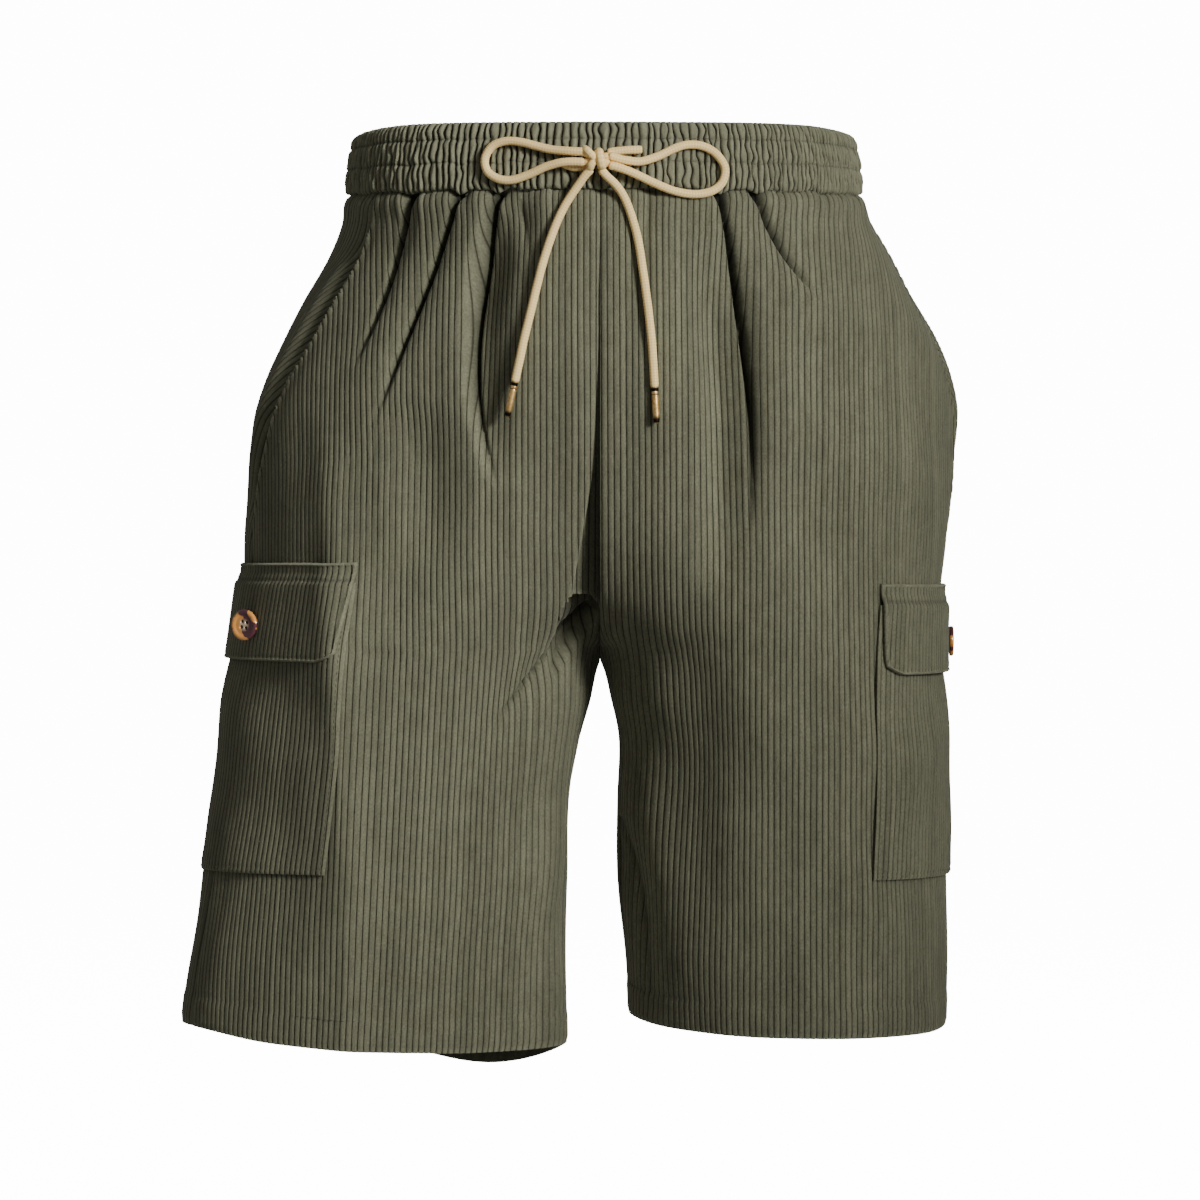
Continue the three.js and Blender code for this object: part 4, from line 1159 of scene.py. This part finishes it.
def bag_relief(pocket, place, z, wale):
    """How far the bag's outside and inside stand off the leg."""
    edge = np.minimum(BAG_HALF - np.abs(place), z - pocket["foot"])
    rounded = -1.1 * MM * bell(edge, 1.1 * MM)
    stitched = -0.6 * MM * bell(edge - BAG_STITCH, 0.8 * MM)
    slack = 0.8 * MM * waves(z + 0.5 * place, (0.071, 0.123), 31) * np.clip(edge / 0.02, 0, 1)
    over = bag_lift(pocket, place / BAG_HALF, z)
    return over + BAG + rounded + stitched + slack - GROOVE * (1 - wale), over + 0.5 * slack


def stitch_line(name, leg, pocket, place, z, out):
    """Stitches over a pocket along a line of places and heights."""
    points = pocket_point(leg, pocket, place, z, out)
    away = pocket_point(leg, pocket, place, z, out + MM) - points
    return stitches(name, points, away)


def bag(leg, pocket):
    places, heights = wale_columns(-BAG_HALF, BAG_HALF)
    rows = 96
    down = np.linspace(0, 1, rows + 1)
    top = pocket["top"] - BAG_BELOW
    z = np.broadcast_to(mix(top, pocket["foot"], down)[:, None], (rows + 1, len(places)))
    place, same = patch_edges(np.broadcast_to(places, z.shape), -BAG_HALF, BAG_HALF)
    wale = np.broadcast_to(heights, z.shape)
    reliefs = bag_relief(pocket, place, z, wale)
    edge = np.minimum(BAG_HALF - np.abs(place), z - pocket["foot"])
    grain = np.stack([place + 0.3, z, np.zeros_like(z)], -1)
    outside, inside = (pocket_point(leg, pocket, place, z, out) for out in reliefs)
    seam = BAG_HALF - BAG_STITCH
    foot = pocket["foot"] + BAG_STITCH
    tall, wide = np.linspace(top - 2 * MM, foot, 160), np.linspace(-seam, seam, 160)
    path = (np.concatenate([np.full(160, -seam), wide[1:], np.full(159, seam)]),
            np.concatenate([tall, np.full(159, foot), tall[::-1][1:]]))
    stitch_line(f"bag_stitches_{leg.name}", leg, pocket, *path, bag_relief(pocket, *path, 0.85)[0])
    # Painted highlight along the bag's rolled edges
    looks = {"wale": wale, "grain": grain, "shade": -0.25 * bell(edge, 1.3 * MM)}
    return make_shell(f"pocket_bag_{leg.name}", outside, inside, (3, 5), same, CORDUROY, looks,
                      f"cargo_pocket_{leg.name}")


def flap_half(level):
    return mix(FLAP_HALF_TOP, FLAP_HALF_FOOT, level)


def flap_lift(pocket, across, z, level):
    share = np.clip(across / BAG_HALF, -1, 1)
    over = bag_lift(pocket, share, z) + BAG + PATCH_LIFT
    below_roll = level * pocket["flap"] - 5.5 * MM
    return mix(PATCH_LIFT, over, np.clip(below_roll / (6 * MM), 0, 1))


def flap_relief(pocket, place, z, level, edge, wale):
    """How far the flap's outside stands off the leg: a rolled rim, and a pressed seam under its upper edge."""
    from_top = level * pocket["flap"]
    rim = -1.0 * MM * bell(edge, 0.6 * MM) + 0.35 * MM * bell(edge - 1.1 * MM, 0.6 * MM)
    rim = rim - 0.4 * MM * bell(edge - 2.3 * MM, 0.7 * MM)
    pressed = -0.7 * MM * bell(from_top - FLAP_SEAM, 1.3 * MM)
    return flap_lift(pocket, place, z, level) + FLAP + rim + pressed - GROOVE * (1 - wale)


def flap(leg, pocket):
    places, heights = wale_columns(-FLAP_HALF_TOP, FLAP_HALF_TOP)
    rows = 60
    level = np.broadcast_to(np.linspace(0, 1, rows + 1)[:, None], (rows + 1, len(places)))
    half = flap_half(level)
    place, same = patch_edges(np.broadcast_to(places, level.shape), -half, half)
    corner = FLAP_CORNER * bell(level - 1, 0.12) * np.clip((np.abs(place / half) - 0.82) / 0.18, 0, 1) ** 1.5
    z = pocket["top"] - pocket["flap"] * level + corner
    edge = np.minimum(half - np.abs(place), pocket["flap"] * np.minimum(level, 1 - level))
    # The rim takes the ridge colour, part of its painted highlight
    wale = np.where(edge < 1.3 * MM, 1.0, np.broadcast_to(heights, level.shape))
    outer = flap_relief(pocket, place, z, level, edge, wale)
    grain = np.stack([place + 0.6, z, np.zeros_like(z)], -1)
    outside = pocket_point(leg, pocket, place, z, outer)
    inside = pocket_point(leg, pocket, place, z, flap_lift(pocket, place, z, level))
    seam_level = FLAP_SEAM / pocket["flap"]
    wide = np.linspace(-1, 1, 200) * (flap_half(seam_level) - 2 * MM)
    height = np.full(200, pocket["top"] - FLAP_SEAM)
    out = flap_relief(pocket, wide, height, np.full(200, seam_level), 9 * MM, 0.8)
    stitch_line(f"flap_stitches_{leg.name}", leg, pocket, wide, height, out)
    # Painted shade along the pressed seam under the flap's top, and a painted highlight along its rim
    shade = 0.35 * bell(level * pocket["flap"] - FLAP_SEAM, 1.0 * MM)
    shade = shade - 0.55 * bell(edge - 0.6 * MM, 0.65 * MM)
    looks = {"wale": wale, "grain": grain, "shade": shade}
    return make_shell(f"flap_{leg.name}", outside, inside, (2, 5), same, CORDUROY, looks,
                      f"pocket_flap_{leg.name}")


def flap_point(leg, pocket, share, level):
    across, z = np.array([-share * flap_half(level)]), np.array([pocket["top"] - pocket["flap"] * level])
    return pocket_point(leg, pocket, across, z, flap_lift(pocket, across, z, level) + FLAP)[0]


def button(leg, pocket):
    """A four-hole button: rim, dished middle and four holes."""
    share = -pocket["button"] / flap_half(BUTTON_LEVEL)
    seat = flap_point(leg, pocket, share, BUTTON_LEVEL)
    forward = flap_point(leg, pocket, share - 0.05, BUTTON_LEVEL) - flap_point(leg, pocket, share + 0.05, BUTTON_LEVEL)
    upward = flap_point(leg, pocket, share, BUTTON_LEVEL - 0.1) - flap_point(leg, pocket, share, BUTTON_LEVEL + 0.1)
    normal = unit(np.cross(forward, upward) * -leg.side)
    upward = unit(upward - normal * np.dot(upward, normal))
    turned = np.radians(pocket["turned"])
    root = seat - normal * 1 * MM
    seat = seat + normal * (2 * HALF_GAP + BUTTON_RADIUS * np.sin(turned) * 0.95)
    normal = normal * np.cos(turned) + unit(forward) * np.sin(turned)
    normal = unit(normal - upward * np.dot(normal, upward))
    across = np.cross(upward, normal)
    if turned:
        shank, _ = smooth_route(np.array([root, mix(root, seat, 0.5), seat + normal * 0.8 * MM]), CORD_STEP)
        braided_tube(f"button_shank_{leg.name}", shank, 1.1 * MM, [])
    radii = np.concatenate([[0], np.linspace(0.35, 6.0, 17), [6.4, 6.8, 7.2, 7.7, 8.2, 8.6, 8.85, 9.0, 8.9, 8.5]]) * MM
    profile = np.interp(radii / MM, [0, 5.6, 6.3, 7.2, 8.2, 8.8, 9.0], [1.75, 1.85, 2.3, 2.6, 2.45, 1.9, 1.3]) * MM
    profile[-2:] = (0.5 * MM, 0.15 * MM)
    sides = 72
    angle = np.linspace(0, 2 * PI, sides, endpoint=False)
    u, v = radii[:, None] * np.cos(angle), radii[:, None] * np.sin(angle)
    height = np.broadcast_to(profile[:, None], u.shape).copy()
    offset = BUTTON_HOLE_PITCH / 2
    hole = np.zeros(u.shape)
    for a in (-offset, offset):
        for b in (-offset, offset):
            hole += 1 / (1 + (np.hypot(u - a, v - b) / (0.85 * MM)) ** 8)
    height -= 1.5 * MM * hole
    top = seat + u[..., None] * across + v[..., None] * upward + height[..., None] * normal
    rows = len(radii)
    points = np.vstack([top[1:].reshape(-1, 3), top[0, :1], seat[None] + normal * 0.1 * MM])
    ids = np.arange((rows - 1) * sides).reshape(rows - 1, sides)
    turned = np.roll(ids, -1, axis=1)
    faces = np.stack([ids[:-1], turned[:-1], turned[1:], ids[1:]], -1).reshape(-1, 4).tolist()
    faces += [[len(points) - 2, int(q), int(p)] for p, q in zip(ids[0], turned[0])]
    faces += [[len(points) - 1, int(p), int(q)] for p, q in zip(ids[-1], turned[-1])]
    grain = np.stack([u, v, np.zeros_like(u)], -1)
    grain = np.vstack([grain[1:].reshape(-1, 3), np.zeros((2, 3))])
    # Painted shade in the holes, which are shallow pits
    dark = np.concatenate([hole[1:].ravel(), [0, 0]])
    return build(f"flap_button_{leg.name}", points, faces, TORTOISESHELL,
                 {"grain": grain, "shade": dark}, [f"button_{leg.name}"], sharp=60)


pocket_pieces = {}
for side, pocket in POCKETS.items():
    leg = LEGS[side]
    pocket_pieces[side] = (bag(leg, pocket), flap(leg, pocket), button(leg, pocket))


# Light, floor and backdrop

FLOOR_Z = -0.95


def area_light(name, place, target, size, power, spread=180):
    """A round studio light. spread is the angle in degrees of its beam, which fades towards the beam's side."""
    light = bpy.data.objects.new(name, bpy.data.lights.new(name, "AREA"))
    light.data.shape = "DISK"
    light.data.size = size
    light.data.energy = power
    light.data.spread = np.radians(spread)
    light.location = place
    aim(light, target)
    bpy.context.scene.collection.objects.link(light)
    return light


area_light("key", (1.9, -2.55, 0.92), (-0.6, 0, -0.25), 0.7, 6.0, spread=30)
area_light("back", (0.2, 3.2, 0.9), (0, 0, -0.25), 1.6, 70)

world = bpy.data.worlds.new("studio")
world.use_nodes = True
world.node_tree.nodes["Background"].inputs["Color"].default_value = (1, 1, 1, 1)
world.node_tree.nodes["Background"].inputs["Strength"].default_value = 0.215
bpy.context.scene.world = world

STAGE_GLOW = 14.0
DOME_RADIUS = 14.0


def stage_piece(name, points, faces):
    """Part of the white surroundings. It casts no light on the shorts, which the studio lights do."""
    mesh = bpy.data.meshes.new(name)
    mesh.from_pydata(points, [], faces)
    material, tree, shader = node_material(name)
    shader.inputs["Base Color"].default_value = (0.9, 0.9, 0.9, 1)
    shader.inputs["Roughness"].default_value = 0.9
    shader.inputs["Emission Color"].default_value = (1, 1, 1, 1)
    shader.inputs["Emission Strength"].default_value = STAGE_GLOW
    mesh.materials.append(material)
    piece = bpy.data.objects.new(name, mesh)
    piece.visible_diffuse = False
    piece.visible_glossy = False
    piece.visible_shadow = False
    bpy.context.scene.collection.objects.link(piece)


def dome():
    rings, sides = 12, 32
    points = [
        (DOME_RADIUS * np.cos(e) * np.cos(a), DOME_RADIUS * np.cos(e) * np.sin(a), DOME_RADIUS * np.sin(e))
        for e in np.linspace(-0.12, PI / 2 - 0.01, rings) for a in np.linspace(0, 2 * PI, sides, endpoint=False)
    ]
    ids = np.arange(rings * sides).reshape(rings, sides)
    turned = np.roll(ids, -1, axis=1)
    faces = np.stack([ids[:-1], ids[1:], turned[1:], turned[:-1]], -1).reshape(-1, 4).tolist()
    stage_piece("backdrop", points, faces + [ids[-1].tolist()])


stage_piece("floor", [(-14, -14, FLOOR_Z), (14, -14, FLOOR_Z), (14, 14, FLOOR_Z), (-14, 14, FLOOR_Z)], [(0, 1, 2, 3)])
dome()


# Heights of the panels and of the pocket bags


for (name, front), piece in panels.items():
    leg = LEGS[name]
    tall = SEAM_Z - min(leg.hem(0), leg.hem(1), leg.hem(1.75))
for side, (bag_piece, flap_piece, button_piece) in pocket_pieces.items():
    pocket = POCKETS[side]
    tall = pocket["top"] - BAG_BELOW - pocket["foot"]
